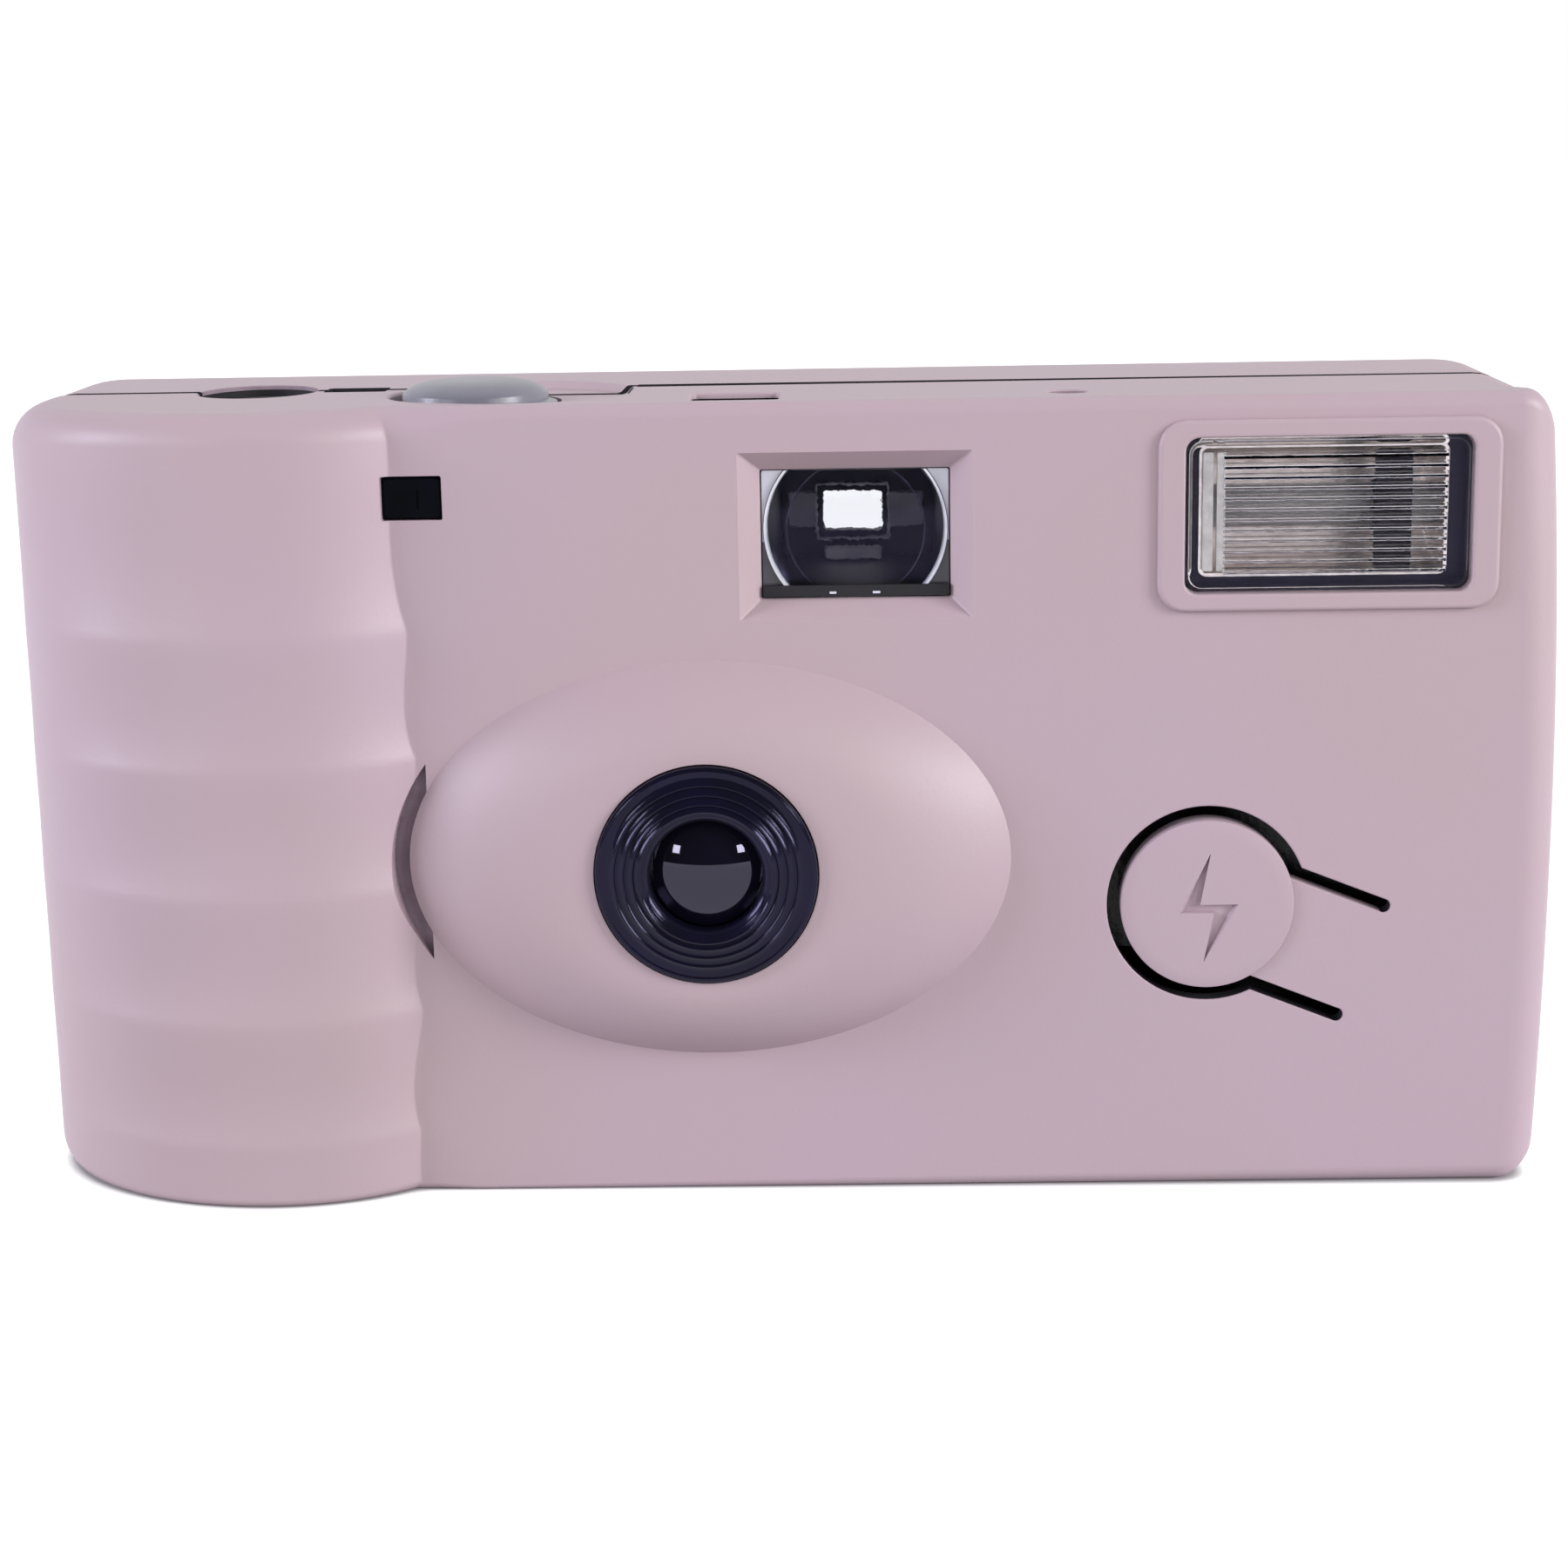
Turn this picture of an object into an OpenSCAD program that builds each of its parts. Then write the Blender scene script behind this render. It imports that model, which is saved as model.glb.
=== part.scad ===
// Disposable 35 mm film camera with flash: two snap-together shells round a black chassis.
// Millimetres. Front faces -Y, width runs along X, the camera stands on its flat bottom at z = 0.
// Modules are drawn with y = 0 on the flat front panel, and placed() centres the whole depth.

/* [Body] */
// Width of the body
body_w = 116; // [112:0.5:124]
// Height of the body without the shutter button
body_h = 60; // [59:0.5:64]
// Depth from the flat front panel to the back
body_d = 29.5; // [29:0.5:34]
// Wall thickness of both shells
wall = 1.6; // [1.2:0.1:1.8]
// Radius of the front top and bottom edges
edge_r = 1.5; // [0.8:0.1:2]
// Corner radius seen from the front
corner_r = 3; // [1.5:0.5:4]
// Radius of the upright corners at the back
back_r = 5; // [3:0.5:6]
// Width of the dark groove between the shells
groove_w = 0.8; // [0.4:0.1:1.2]
// Depth of that groove
groove_d = 0.9; // [0.5:0.1:1]

/* [Grip] */
// Radius of the grip bulge round the film cartridge
grip_r = 19; // [18:0.25:20]
// Spacing of the finger ridges
ridge_pitch = 9.7; // [8:0.1:10]
// Height of the lowest ridge
ridge_z = 4.9; // [4:0.1:7]
// Number of ridges
ridge_n = 5; // [3:1:5]
// Depth of the hollows between ridges
ridge_d = 0.5; // [0.2:0.05:0.8]
// How much the grip narrows toward top and bottom
grip_barrel = 0.8; // [0:0.1:1]

/* [Lens] */
// Distance of the lens axis from the winding axis
lens_off = 34; // [33.5:0.5:36]
// Radius of the ring round the lens
ring_r = 8.2; // [7.8:0.1:8.6]
// Radius of the opening in that ring
ring_hole_r = 4.15; // [3.6:0.05:4.2]
// How far the ring's rim stands in front of the panel
ring_reach = 5.0; // [4.6:0.1:6]
// Half width of the raised dome round the lens
dome_a = 22.5; // [20:0.5:23]
// Half height of that dome
dome_b = 15.1; // [14:0.1:15.5]

/* [Windows] */
// Number of ribs on the flash window
rib_n = 12; // [6:1:16]

/* [Controls] */
// Radius of the shutter button
button_r = 6.2; // [5.5:0.1:6.4]
// Travel of the shutter button
button_travel = 1.2; // [0.6:0.1:1.3]
// Radius of the round flash charge button
charge_r = 6.45; // [5.5:0.05:6.8]
// Width of the slot that frees it from the front shell
slot_w = 0.75; // [0.5:0.05:1]
// Radius of the film winding wheel
wheel_r = 13.9; // [13:0.1:14]
// Number of grip teeth on that wheel
wheel_n = 48; // [24:2:60]

/* [Film and battery] */
// Radius of the 35 mm film cartridge
cartridge_r = 12.5; // [12.3:0.1:12.7]
// Width of the film
film_w = 35; // [34.8:0.1:35.2]
// Width of the picture on the film
frame_w = 36; // [34:0.5:36]
// Height of the picture on the film
frame_h = 24; // [22:0.5:24]
// Radius of the unexposed film roll
roll_r = 8.5; // [7:0.1:8.7]

/* [Hidden] */
$fn = 64;

// Fits
run_fit = 0.05;   // radial play of pins and shafts
slip = 0.1;       // play of a part set in an opening
clear = 0.3;      // air between moving parts

// Planes along the depth
seam_y = 14.5;                    // the shells meet here
ring_nose = 0.6;                  // the ring's hole stands in front of its rim
front_reach = ring_reach + ring_nose;
depth_mid = (body_d - front_reach) / 2;
film_t = 0.15;
film_y = body_d - 3.7;            // front face of the film
gate_y = film_y - 0.2;            // back of the film gate
gate_t = 1.2;
top_z = body_h - wall;            // underside of the top wall
right_x = body_w / 2;

// Winding axis
axis_x = grip_r - body_w / 2;
axis_y = seam_y;
grip_bore = grip_r - grip_barrel - ridge_d - wall - 0.1;
end_r = 2.5;                      // rounding of the grip's top and bottom rims

// Lens axis, and the film that is centred on it
lens_x = axis_x + lens_off;
lens_z = body_h * 13 / 30;
film_z = lens_z - film_w / 2;
film_top = film_z + film_w;
above_film = body_h - film_top;   // room for finder, flash and winding wheel

// Film transport
cart_z = wall + 1.1;
cart_h = 2 * (lens_z - cart_z);
lip_t = 2;
spool_r = 5.5;
stub_r = 3;
wheel_z = cart_z + cart_h + 1.2;
wheel_t = top_z - wheel_z - 2.7;
hub_r = 4.5;
sprocket_x = axis_x + 20.5;
sprocket_r = 5.9;
sprocket_y = film_y - 0.25 - sprocket_r;
sprocket_z = lens_z + frame_h / 2 + 2.4;
roll_x = right_x - 15.5;
roll_y = film_y - roll_r;
roll_play = 0.8;
roll_wall = 1;

// Shutter and its release
button_x = axis_x + 16.6;
button_y = 9.5;
stem_r = 2.2;
dial_x = lens_x - 2.5;
dial_y = 11.5;
dial_r = 8.5;
dial_t = 0.8;
dial_z = top_z - 1.3 - dial_t;
deck_z = film_top + 0.5;
deck_t = 1;
lever_x = button_x + 9.9;
lever_y = button_y;
lever_z = deck_z + 3.5;
lever_pin = 0.8;
bush_top = deck_z + 6;
blade_x = lens_x - 6.5;
blade_z = lens_z + 7.5;
blade_y = 3.4;
blade_t = 0.4;
stop_r = 1.6;
plate_y = 2;
plate_t = 1.2;

// Viewfinder, flash and electrics
finder_x = lens_x + 11.2;
finder_w = body_w * 139 / 1160;
finder_h = above_film - 7;
finder_z = body_h - 5.05 - finder_h / 2;
eye_z = finder_z - 0.15 * finder_h;            // eyepiece sits a little below the front window
chamfer = 1.6;
flash_x = right_x - 17.5;
flash_w = body_w * 208 / 1160;
flash_h = above_film - 5.1;
flash_z = body_h - 3 - flash_h / 2;
frame_lip = 1.95;
room_x = finder_x + finder_w / 2 + 1.4;      // room between finder and flash
room_w = flash_x - flash_w / 2 - 2 - room_x;
coil_x = room_x + 0.2177 * room_w;
coil_w = 0.694 * room_w;
lamp_x = room_x + 0.5424 * room_w;
lamp_y = 4.9;
lamp_r = 1.5;
charge_x = right_x - 25.9;
charge_z = lens_z - 3.8;
charge_tilt = -21.6;
neck_w = 9.06 - slot_w;
neck_l = 12.3;
board_y = 5.2;
board_t = 1.2;
cap_r = 5;
board_x = right_x - 41;
board_z = lens_z - 8.5;
part_x = right_x - 26.4;          // column of small parts behind the board
box_half = 9;                     // half size of the dark box's narrow front
cell_x = axis_x + 16.5;
cell_l = roll_x - roll_r - roll_play - roll_wall - 4.2 - cell_x;
cell_r = (lens_z - box_half - 0.8 - wall - 0.2) / 2;
cell_y = wall + 0.3 + cell_r;
cell_z = wall + 0.2 + cell_r;
box_step_y = cell_y + cell_r + 0.7;
counter_w = 6.5;
counter_l = 5.4;
counter_x = dial_x + 4.9;
counter_y = 4.9;
dish_x = button_x + 3;
dish_y = button_y + 1.5;
dish_r = 9;
pane_x = axis_x + 12.85;
pane_z = body_h - 6.6;

module placed() {
    translate([0, -depth_mid, 0]) children();
}

// Rounded rectangle centred on the origin
module rounded(w, h, r) {
    union() {
        square([w - 2 * r, h], center = true);
        square([w, h - 2 * r], center = true);
        for (x = [-1, 1], y = [-1, 1])
            translate([x * (w / 2 - r), y * (h / 2 - r)]) circle(r);
    }
}

// Extrudes a front-view outline (x, z) from depth y0 to y1
module front_view(y0, y1) {
    translate([0, y1, 0]) rotate([90, 0, 0]) linear_extrude(y1 - y0) children();
}

// Cylinder along the depth
module bore_y(x, z, r, y0, y1) {
    translate([x, y1, z]) rotate([90, 0, 0]) cylinder(r = r, h = y1 - y0);
}

// Tube round a vertical axis
module tube(r_out, r_in, h) {
    difference() {
        cylinder(r = r_out, h = h);
        translate([0, 0, -1]) cylinder(r = r_in, h = h + 2);
    }
}

// Outline of both shells from the front
module shell_front(inset = 0) {
    translate([0, body_h / 2]) rounded(body_w - 2 * inset, body_h - 2 * inset, corner_r - min(inset, 1));
}

// Outline of a shell half from the side, rounded where it faces out at y = y0
module side_profile(y0, y1, r) {
    s = sign(y1 - y0);
    union() {
        translate([min(y0 + s * r, y1), 0]) square([abs(y1 - y0) - r, body_h]);
        translate([min(y0, y1), r]) square([abs(y1 - y0), body_h - 2 * r]);
        for (z = [r, body_h - r]) translate([y0 + s * r, z]) circle(r);
    }
}

// Cut ring that leaves a groove outside the seam, on one side of it
module seam_groove(y0, y1) {
    difference() {
        translate([-body_w, y0, -1]) cube([2 * body_w, y1 - y0, body_h + 2]);
        front_view(y0 - 1, y1 + 1) shell_front(groove_d);
    }
}

// Radius of the grip at height z: barrel shape with hollows that end in a ridge below each
function section_top(k) = k < ridge_n ? ridge_z + k * ridge_pitch : body_h - end_r;
function hollow(t) = 4 * pow(t, 1.5) * (1 - pow(t, 1.5));
function barrel(z) = grip_r - grip_barrel * pow(2 * z / body_h - 1, 2);
function grip_points() = [for (k = [ridge_n:-1:1], i = [0:7])
    let (z1 = section_top(k), z0 = section_top(k - 1), t = i / 8, z = z1 + (z0 - z1) * t)
    [barrel(z) - ridge_d * hollow(t), z]];
function rim_points(z, up) = [for (a = [0:15:90])
    let (q = up ? 90 - a : a)
    [barrel(z) - end_r + end_r * cos(q), z + (up ? 1 : -1) * end_r * sin(q)]];

module grip_solid() {
    translate([axis_x, axis_y, 0]) rotate_extrude($fn = 128)
        polygon(concat([[0, 0], [0, body_h]], rim_points(body_h - end_r, true),
            grip_points(), [[barrel(ridge_z), ridge_z]], rim_points(end_r, false)));
}

// Raised dome round the lens: an ellipse at the panel drawn in to a circle under the ring
function dome_ring(s, a, b, r, h, y) = [for (i = [0:47])
    let (ang = i * 7.5)
    [lens_x + (a + (r - a) * s) * cos(ang), y - h * (1 - pow(1 - s, 2)),
     lens_z + (b + (r - b) * s) * sin(ang)]];

module dome(a, b, r, h, y) {
    levels = 6;
    base = [for (p = dome_ring(0, a, b, r, h, y)) [p[0], p[1] + 1.2, p[2]]];
    pts = concat(base, [for (k = [0:levels]) each dome_ring(k / levels, a, b, r, h, y)]);
    n = levels + 2;
    polyhedron(pts, concat(
        [[for (i = [0:47]) i]],
        [for (k = [0:n - 2], i = [0:47])
            let (j = (i + 1) % 48)
            each [[k * 48 + i, (k + 1) * 48 + i, (k + 1) * 48 + j], [k * 48 + i, (k + 1) * 48 + j, k * 48 + j]]],
        [[for (i = [47:-1:0]) (n - 1) * 48 + i]]));
}

// Ellipse as an outline with straight sides short enough to look round
module ellipse(a, b) {
    polygon([for (i = [0:63]) [a * cos(i * 5.625), b * sin(i * 5.625)]]);
}

// Round pad and neck of the charge button, grown by g, seen from the front
module charge_outline(g) {
    translate([charge_x, charge_z]) rotate(charge_tilt) union() {
        circle(charge_r + g);
        translate([0, -neck_w / 2 - g]) square([neck_l, neck_w + 2 * g]);
    }
}

module button_hole() {
    translate([button_x, button_y, top_z - 1]) cylinder(r = button_r + clear, h = wall + 2);
}

// Shallow round dish that leads the finger to the shutter button
module thumb_dish() {
    translate([dish_x, dish_y, body_h - 0.6]) cylinder(r = dish_r, h = 2);
}

module hub_hole() {
    translate([axis_x, axis_y, top_z - 1]) cylinder(r = hub_r + 0.1, h = wall + 2);
}

module front_cover() {
    color("thistle") placed() difference() {
        union() {
            intersection() {
                translate([axis_x, 0, 0]) cube([right_x - axis_x, seam_y, body_h]);
                front_view(-1, seam_y + 1) shell_front();
                translate([-body_w, 0, 0]) rotate([90, 0, 90]) linear_extrude(2 * body_w)
                    side_profile(0, seam_y + 5, edge_r);
                union() {
                    translate([-body_w, -1, -1]) cube([body_w + right_x - corner_r, body_d, body_h + 2]);
                    translate([0, corner_r, -1]) cube([right_x, body_d, body_h + 2]);
                    translate([right_x - corner_r, corner_r, -1]) cylinder(r = corner_r, h = body_h + 2);
                }
            }
            difference() {
                intersection() {
                    grip_solid();
                    translate([-body_w, -body_d, -1]) cube([2 * body_w, body_d + seam_y, body_h + 2]);
                }
                front_view(-body_d, 0) translate([lens_x, lens_z]) ellipse(dome_a + 1.2, dome_b + 1.2);
            }
            dome(dome_a, dome_b, ring_r + 0.6, ring_reach - 0.4, 0);
            front_view(-0.5, 1) translate([flash_x, flash_z])
                rounded(flash_w + 2 * frame_lip, flash_h + 2 * frame_lip - 1.3, 2);
        }
        // hollow inside
        translate([axis_x, wall, wall]) cube([right_x - wall - axis_x, seam_y, body_h - 2 * wall]);
        translate([axis_x, axis_y, wall]) cylinder(r = grip_bore, h = body_h - 2 * wall);
        translate([0, wall, 0]) dome(dome_a - wall, dome_b - wall, ring_r - 0.2, ring_reach - 0.4, 0);
        // ring seat
        bore_y(lens_x, lens_z, ring_r + slip, -body_d, -ring_reach + 1.2);
        bore_y(lens_x, lens_z, ring_r - 1 + slip, -body_d, wall + 1);
        // viewfinder recess
        hull() {
            front_view(-0.01, 0) translate([finder_x, finder_z])
                square([finder_w + 2 * chamfer, finder_h + 2 * chamfer - 0.4], center = true);
            front_view(wall - 0.4, wall + 0.1) translate([finder_x, finder_z])
                square([finder_w, finder_h], center = true);
        }
        // flash, grip window and charge button openings
        front_view(-5, 5) translate([flash_x, flash_z]) rounded(flash_w, flash_h, 1);
        front_view(-12, wall + 1) translate([pane_x, pane_z]) square([4.45, 3.25], center = true);
        front_view(-5, 5) difference() {
            charge_outline(slot_w);
            translate([charge_x, charge_z]) rotate(charge_tilt)
                translate([neck_l, -charge_r]) square([20, 2 * charge_r]);
        }
        for (s = [-1, 1]) front_view(-5, 5) translate([charge_x, charge_z]) rotate(charge_tilt)
            translate([neck_l, s * (neck_w + slot_w) / 2]) circle(slot_w / 2);
        // top openings
        button_hole();
        thumb_dish();
        hub_hole();
        translate([counter_x - counter_w / 2, counter_y - counter_l / 2, top_z - 1])
            cube([counter_w, counter_l, wall + 2]);
        translate([lamp_x, lamp_y, top_z - 1]) cylinder(r = lamp_r, h = wall + 2);
        seam_groove(seam_y - groove_w / 2, seam_y + 1);
    }
}

// Tabs of the back shell that reach under the front shell's top and bottom
module snap_tabs() {
    for (x = [right_x - 26, right_x - 9], z = [wall, top_z - 1])
        translate([x, seam_y - 3, z]) cube([5, 8, 1]);
    translate([right_x - 42, seam_y - 3, top_z - 1]) cube([5, 8, 1]);
}

module back_cover() {
    scoop_r = 16;
    scoop_d = 3.2;
    color("thistle") placed() difference() {
        union() {
            intersection() {
                front_view(seam_y, body_d) shell_front();
                translate([-body_w, 0, 0]) rotate([90, 0, 90]) linear_extrude(2 * body_w)
                    side_profile(body_d, seam_y - 5, 2);
                translate([0, body_d / 2, -1]) linear_extrude(body_h + 2) rounded(body_w, body_d, back_r);
            }
            snap_tabs();
        }
        intersection() {
            front_view(seam_y - 9, body_d - wall) shell_front(wall);
            translate([0, body_d / 2, 0]) linear_extrude(body_h)
                rounded(body_w - 2 * wall, body_d - 2 * wall, back_r - wall);
            union() {
                translate([-body_w, seam_y, 0]) cube([2 * body_w, body_d, body_h]);
                translate([-body_w, 0, wall + 1]) cube([2 * body_w, body_d, body_h - 2 * wall - 2]);
            }
            difference() {
                translate([-body_w, 0, 0]) cube([2 * body_w, body_d, body_h]);
                snap_tabs();
            }
        }
        // scoop that bares the rim of the winding wheel
        translate([axis_x, body_d + scoop_r - scoop_d, wheel_z - 0.8])
            cylinder(r = scoop_r, h = wheel_t + 1.6);
        front_view(body_d - 5, body_d + 1) translate([finder_x, eye_z]) rounded(7, 5, 0.8);
        button_hole();
        thumb_dish();
        hub_hole();
        seam_groove(seam_y - 1, seam_y + groove_w / 2);
    }
}

// Pad and neck are free of the shell; the neck's end is the living hinge
module flash_button() {
    bolt = [[0.2, 4], [-2.1, -0.65], [0.5, -0.65], [-0.25, -4.5], [2.3, 0], [-0.55, 0]];
    color("thistle") placed() difference() {
        union() {
            front_view(0, wall) charge_outline(0);
            front_view(-0.35, 1) translate([charge_x, charge_z]) circle(charge_r - 0.3);
            bore_y(charge_x, charge_z, 1.2, wall - 0.5, wall + 0.9);
        }
        front_view(-1, -0.05) translate([charge_x, charge_z]) polygon(bolt);
    }
}

module grip_window() {
    color("#202024") placed() union() {
        front_view(wall, wall + 1) translate([pane_x, pane_z]) square([6.2, 4.6], center = true);
        front_view(wall - 1.2, wall + 0.5) translate([pane_x, pane_z])
            square([4.45 - 2 * slip, 3.25 - 2 * slip], center = true);
    }
}

// Chassis: cartridge chamber, dark box, film gate, film chamber, battery cradle and top deck
module main_frame() {
    chamber_r = cartridge_r + 0.6;
    box_y = blade_y + 1.2;
    color("#18181a") placed() difference() {
        union() {
            // cartridge chamber, open at the back
            intersection() {
                translate([axis_x, axis_y, wall]) cylinder(r = chamber_r + 1.2, h = deck_z + deck_t - wall);
                translate([-body_w, 0, 0]) cube([2 * body_w, gate_y, body_h]);
            }
            // film gate
            front_view(gate_y - gate_t, gate_y) translate([axis_x + 12, wall]) square([roll_x - axis_x - 18, deck_z - wall]);
            // dark box: wide at the film, narrow in front to clear the battery
            front_view(box_step_y, gate_y) translate([lens_x, lens_z])
                square([frame_w + 4, frame_h + 4], center = true);
            front_view(box_y, box_step_y + 1) translate([lens_x, lens_z]) square(2 * box_half, center = true);
            // battery cradle
            translate([cell_x + 1, cell_y + 2, wall]) cube([cell_l - 2, gate_y - cell_y - 2.2, 4.5]);
            // film chamber with floor and roof
            translate([roll_x, roll_y, film_z - 1.6]) cylinder(r = roll_r + roll_play + roll_wall, h = film_w + 2.7);
            // deck with the button's bush and the dial's post
            translate([axis_x + 14, 5, deck_z]) cube([finder_x - finder_w / 2 - 2.3 - axis_x - 14, gate_y - 5, deck_t]);
            translate([button_x, button_y, deck_z]) cylinder(r = 3.2, h = bush_top - deck_z);
            translate([dial_x, dial_y, deck_z]) cylinder(r = 2.5, h = dial_z - deck_z);
            translate([dial_x, dial_y, deck_z]) cylinder(r = 1.2, h = dial_z - deck_z + 1.4);
            // post and pin of the release lever
            translate([lever_x - 1.5, lever_y + 2, deck_z]) cube([3, 2, lever_z - deck_z + 1.5]);
            bore_y(lever_x, lever_z, lever_pin, lever_y - 1.6, lever_y + 2.5);
            // stay that joins the deck to the dark box
            translate([sprocket_x + 8, box_step_y + 1, lens_z + frame_h / 2 + 1])
                cube([2, gate_y - box_step_y - 1, deck_z - lens_z - frame_h / 2]);
        }
        // cartridge room and film way
        translate([axis_x, axis_y, cart_z]) cylinder(r = chamber_r, h = body_h);
        translate([axis_x + 5, gate_y - gate_t - 0.6, cart_z]) cube([8.4, 10, body_h]);
        // dark box inside
        front_view(box_step_y + 1, body_d) translate([lens_x, lens_z]) square([frame_w, frame_h], center = true);
        front_view(box_y + 1, box_step_y + 2) translate([lens_x, lens_z]) square(2 * box_half - 2, center = true);
        bore_y(lens_x, lens_z, 5, 0, box_y + 2);
        // battery trough
        translate([cell_x - 3, cell_y, cell_z]) rotate([0, 90, 0]) cylinder(r = cell_r + slip, h = cell_l + 6);
        // film roll room, open at the back, with bearings for its spool
        translate([roll_x, roll_y, film_z - 0.4]) cylinder(r = roll_r + roll_play, h = film_w + 0.8);
        translate([roll_x, roll_y, 0]) cylinder(r = 1.5 + run_fit, h = body_h);
        translate([0, gate_y, 0]) cube([right_x, 10, body_h]);
        // sprocket room and bearing, button bush
        translate([sprocket_x, sprocket_y, sprocket_z - 0.4]) cylinder(r = sprocket_r + 0.5, h = 3.2);
        translate([sprocket_x, sprocket_y, sprocket_z]) cylinder(r = 1.2 + run_fit, h = 20);
        translate([button_x, button_y, deck_z - 1]) cylinder(r = stem_r + run_fit, h = 20);
        // gap in the bush for the lever's arm
        translate([button_x - 2, lever_y - 1.8, lever_z - 2.4]) cube([8, 3.6, 4.2]);
    }
}

// Stepped ring: outer rim, ridges, nose and the barrel that holds the lens
module lens_ring() {
    steps = 4;
    run = (ring_r - 0.5 - ring_hole_r - 0.5) / steps;
    front = [for (k = [0:steps - 1])
        let (r = ring_r - 0.5 - k * run, y = ring_reach - 0.5 + k * (ring_nose + 0.2) / steps)
        each [[r, y], [r - run * 0.35, y + 0.3], [r - run * 0.7, y + 0.3], [r - run * 0.85, y]]];
    color("#14141e") placed() translate([lens_x, 0, lens_z]) rotate([90, 0, 0])
        rotate_extrude($fn = 96) polygon(concat(
            [[ring_r, ring_reach - 1.2], [ring_r, ring_reach - 0.2], [ring_r - 0.2, ring_reach], [ring_r - 0.4, ring_reach]],
            front,
            [[ring_hole_r + 0.45, ring_reach + ring_nose], [ring_hole_r, ring_reach + ring_nose - 0.3],
             [ring_hole_r, 1.5], [4.8 + run_fit, 1.5], [4.8 + run_fit, -plate_y],
             [ring_r - 1, -plate_y], [ring_r - 1, ring_reach - 1.2]]));
}

module taking_lens() {
    ball = 9;
    color("lightcyan") placed() translate([lens_x, 0, lens_z]) intersection() {
        bore_y(0, 0, 4.8, -1.5, 1);
        union() {
            bore_y(0, 0, 4.8, -0.7, 1);
            translate([0, ball - 1.5, 0]) sphere(ball);
        }
    }
}

module shutter_plate() {
    color("#2a2a2e") placed() difference() {
        union() {
            front_view(plate_y, plate_y + plate_t) translate([lens_x - 1, lens_z + 2]) square([18, 20], center = true);
            bore_y(lens_x, lens_z, 4, 1, plate_y + 0.5);
            bore_y(blade_x, blade_z, 0.9, plate_y + 0.5, blade_y + 1.1);
        }
        bore_y(lens_x, lens_z, 2.6, 0, plate_y);
        bore_y(lens_x, lens_z, stop_r, 0, plate_y + 2);
    }
}

module shutter_blade() {
    reach = sqrt(pow(lens_x - blade_x, 2) + pow(lens_z - blade_z, 2));
    color("#3a3a40") placed() difference() {
        front_view(blade_y, blade_y + blade_t) translate([blade_x, blade_z])
            rotate(atan2(lens_z - blade_z, lens_x - blade_x)) union() {
                circle(2);
                translate([reach, 0]) circle(stop_r + 1.2);
                translate([0, -1]) square([reach, 2]);
                translate([-4, -0.6]) square([4, 1.2]);
            }
        bore_y(blade_x, blade_z, 0.9 + run_fit, 0, 9);
    }
}

module shutter_spring() {
    color("silver") placed() difference() {
        bore_y(blade_x, blade_z, 1.5, blade_y + blade_t + 0.1, blade_y + 1.1);
        bore_y(blade_x, blade_z, 1.1, 0, 9);
    }
}

module sync_contact() {
    color("goldenrod") placed() union() {
        translate([lens_x + 2, plate_y + plate_t, lens_z + 10]) cube([5, 0.4, 2]);
        translate([lens_x + 6, plate_y + plate_t, lens_z + 10]) cube([1, 3, 0.5]);
    }
}

module finder_front_lens() {
    ball = 20;
    lens_circle = 6.8;
    color("azure") placed() union() {
        front_view(wall, wall + 1.2) translate([finder_x, finder_z])
            square([finder_w + 1.8, finder_h + 1.6], center = true);
        intersection() {
            front_view(wall - 1, wall + 0.5) translate([finder_x, finder_z])
                square([finder_w - 2 * slip, finder_h - 2 * slip], center = true);
            bore_y(finder_x, finder_z, lens_circle, 0, wall + 1);
            translate([finder_x, ball + wall - 0.9, finder_z]) sphere(ball, $fn = 128);
        }
    }
}

module finder_tube() {
    color("#141416") placed() difference() {
        front_view(wall + 1.2, body_d - 3.5) translate([finder_x, finder_z])
            square([finder_w + 2.8, finder_h + 2.4], center = true);
        front_view(0, body_d - 4.5) translate([finder_x, finder_z])
            square([finder_w + 0.8, finder_h + 0.6], center = true);
        front_view(0, body_d) translate([finder_x, eye_z]) square([6, 4], center = true);
    }
}

module finder_eyepiece() {
    color("azure") placed() union() {
        front_view(body_d - 3.5, body_d - wall) translate([finder_x, eye_z]) square([9, 7], center = true);
        front_view(body_d - 2, body_d - 0.3) translate([finder_x, eye_z])
            rounded(7 - 2 * slip, 5 - 2 * slip, 0.7);
    }
}

// Clear window with rows of ribs across its face
module flash_window() {
    pitch = (flash_h - 1.6) / rib_n;
    color("azure") placed() union() {
        front_view(0, wall) translate([flash_x, flash_z]) rounded(flash_w - 2 * slip, flash_h - 2 * slip, 0.9);
        front_view(wall, wall + 0.8) translate([flash_x, flash_z]) square([flash_w + 1.6, flash_h + 1], center = true);
        for (i = [0:rib_n - 1])
            translate([flash_x - flash_w / 2 + 1.2, 0, flash_z - flash_h / 2 + 0.8 + i * pitch])
                rotate([90, 0, 90]) linear_extrude(flash_w - 3) polygon([[0.2, 0.02], [0.2, pitch - 0.02], [-0.35, pitch / 2]]);
    }
}

module flash_holder() {
    y0 = wall + 0.8;
    color("#161618") placed() difference() {
        front_view(y0, y0 + 9) translate([flash_x, flash_z]) square([flash_w + 4, flash_h + 2], center = true);
        front_view(y0 - 1, y0 + 8) translate([flash_x, flash_z]) square([flash_w + 2, flash_h], center = true);
        // the glass tube passes through both ends
        translate([flash_x - flash_w, y0 + 3.8, flash_z]) rotate([0, 90, 0]) cylinder(r = 1.7, h = 2 * flash_w);
    }
}

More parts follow.
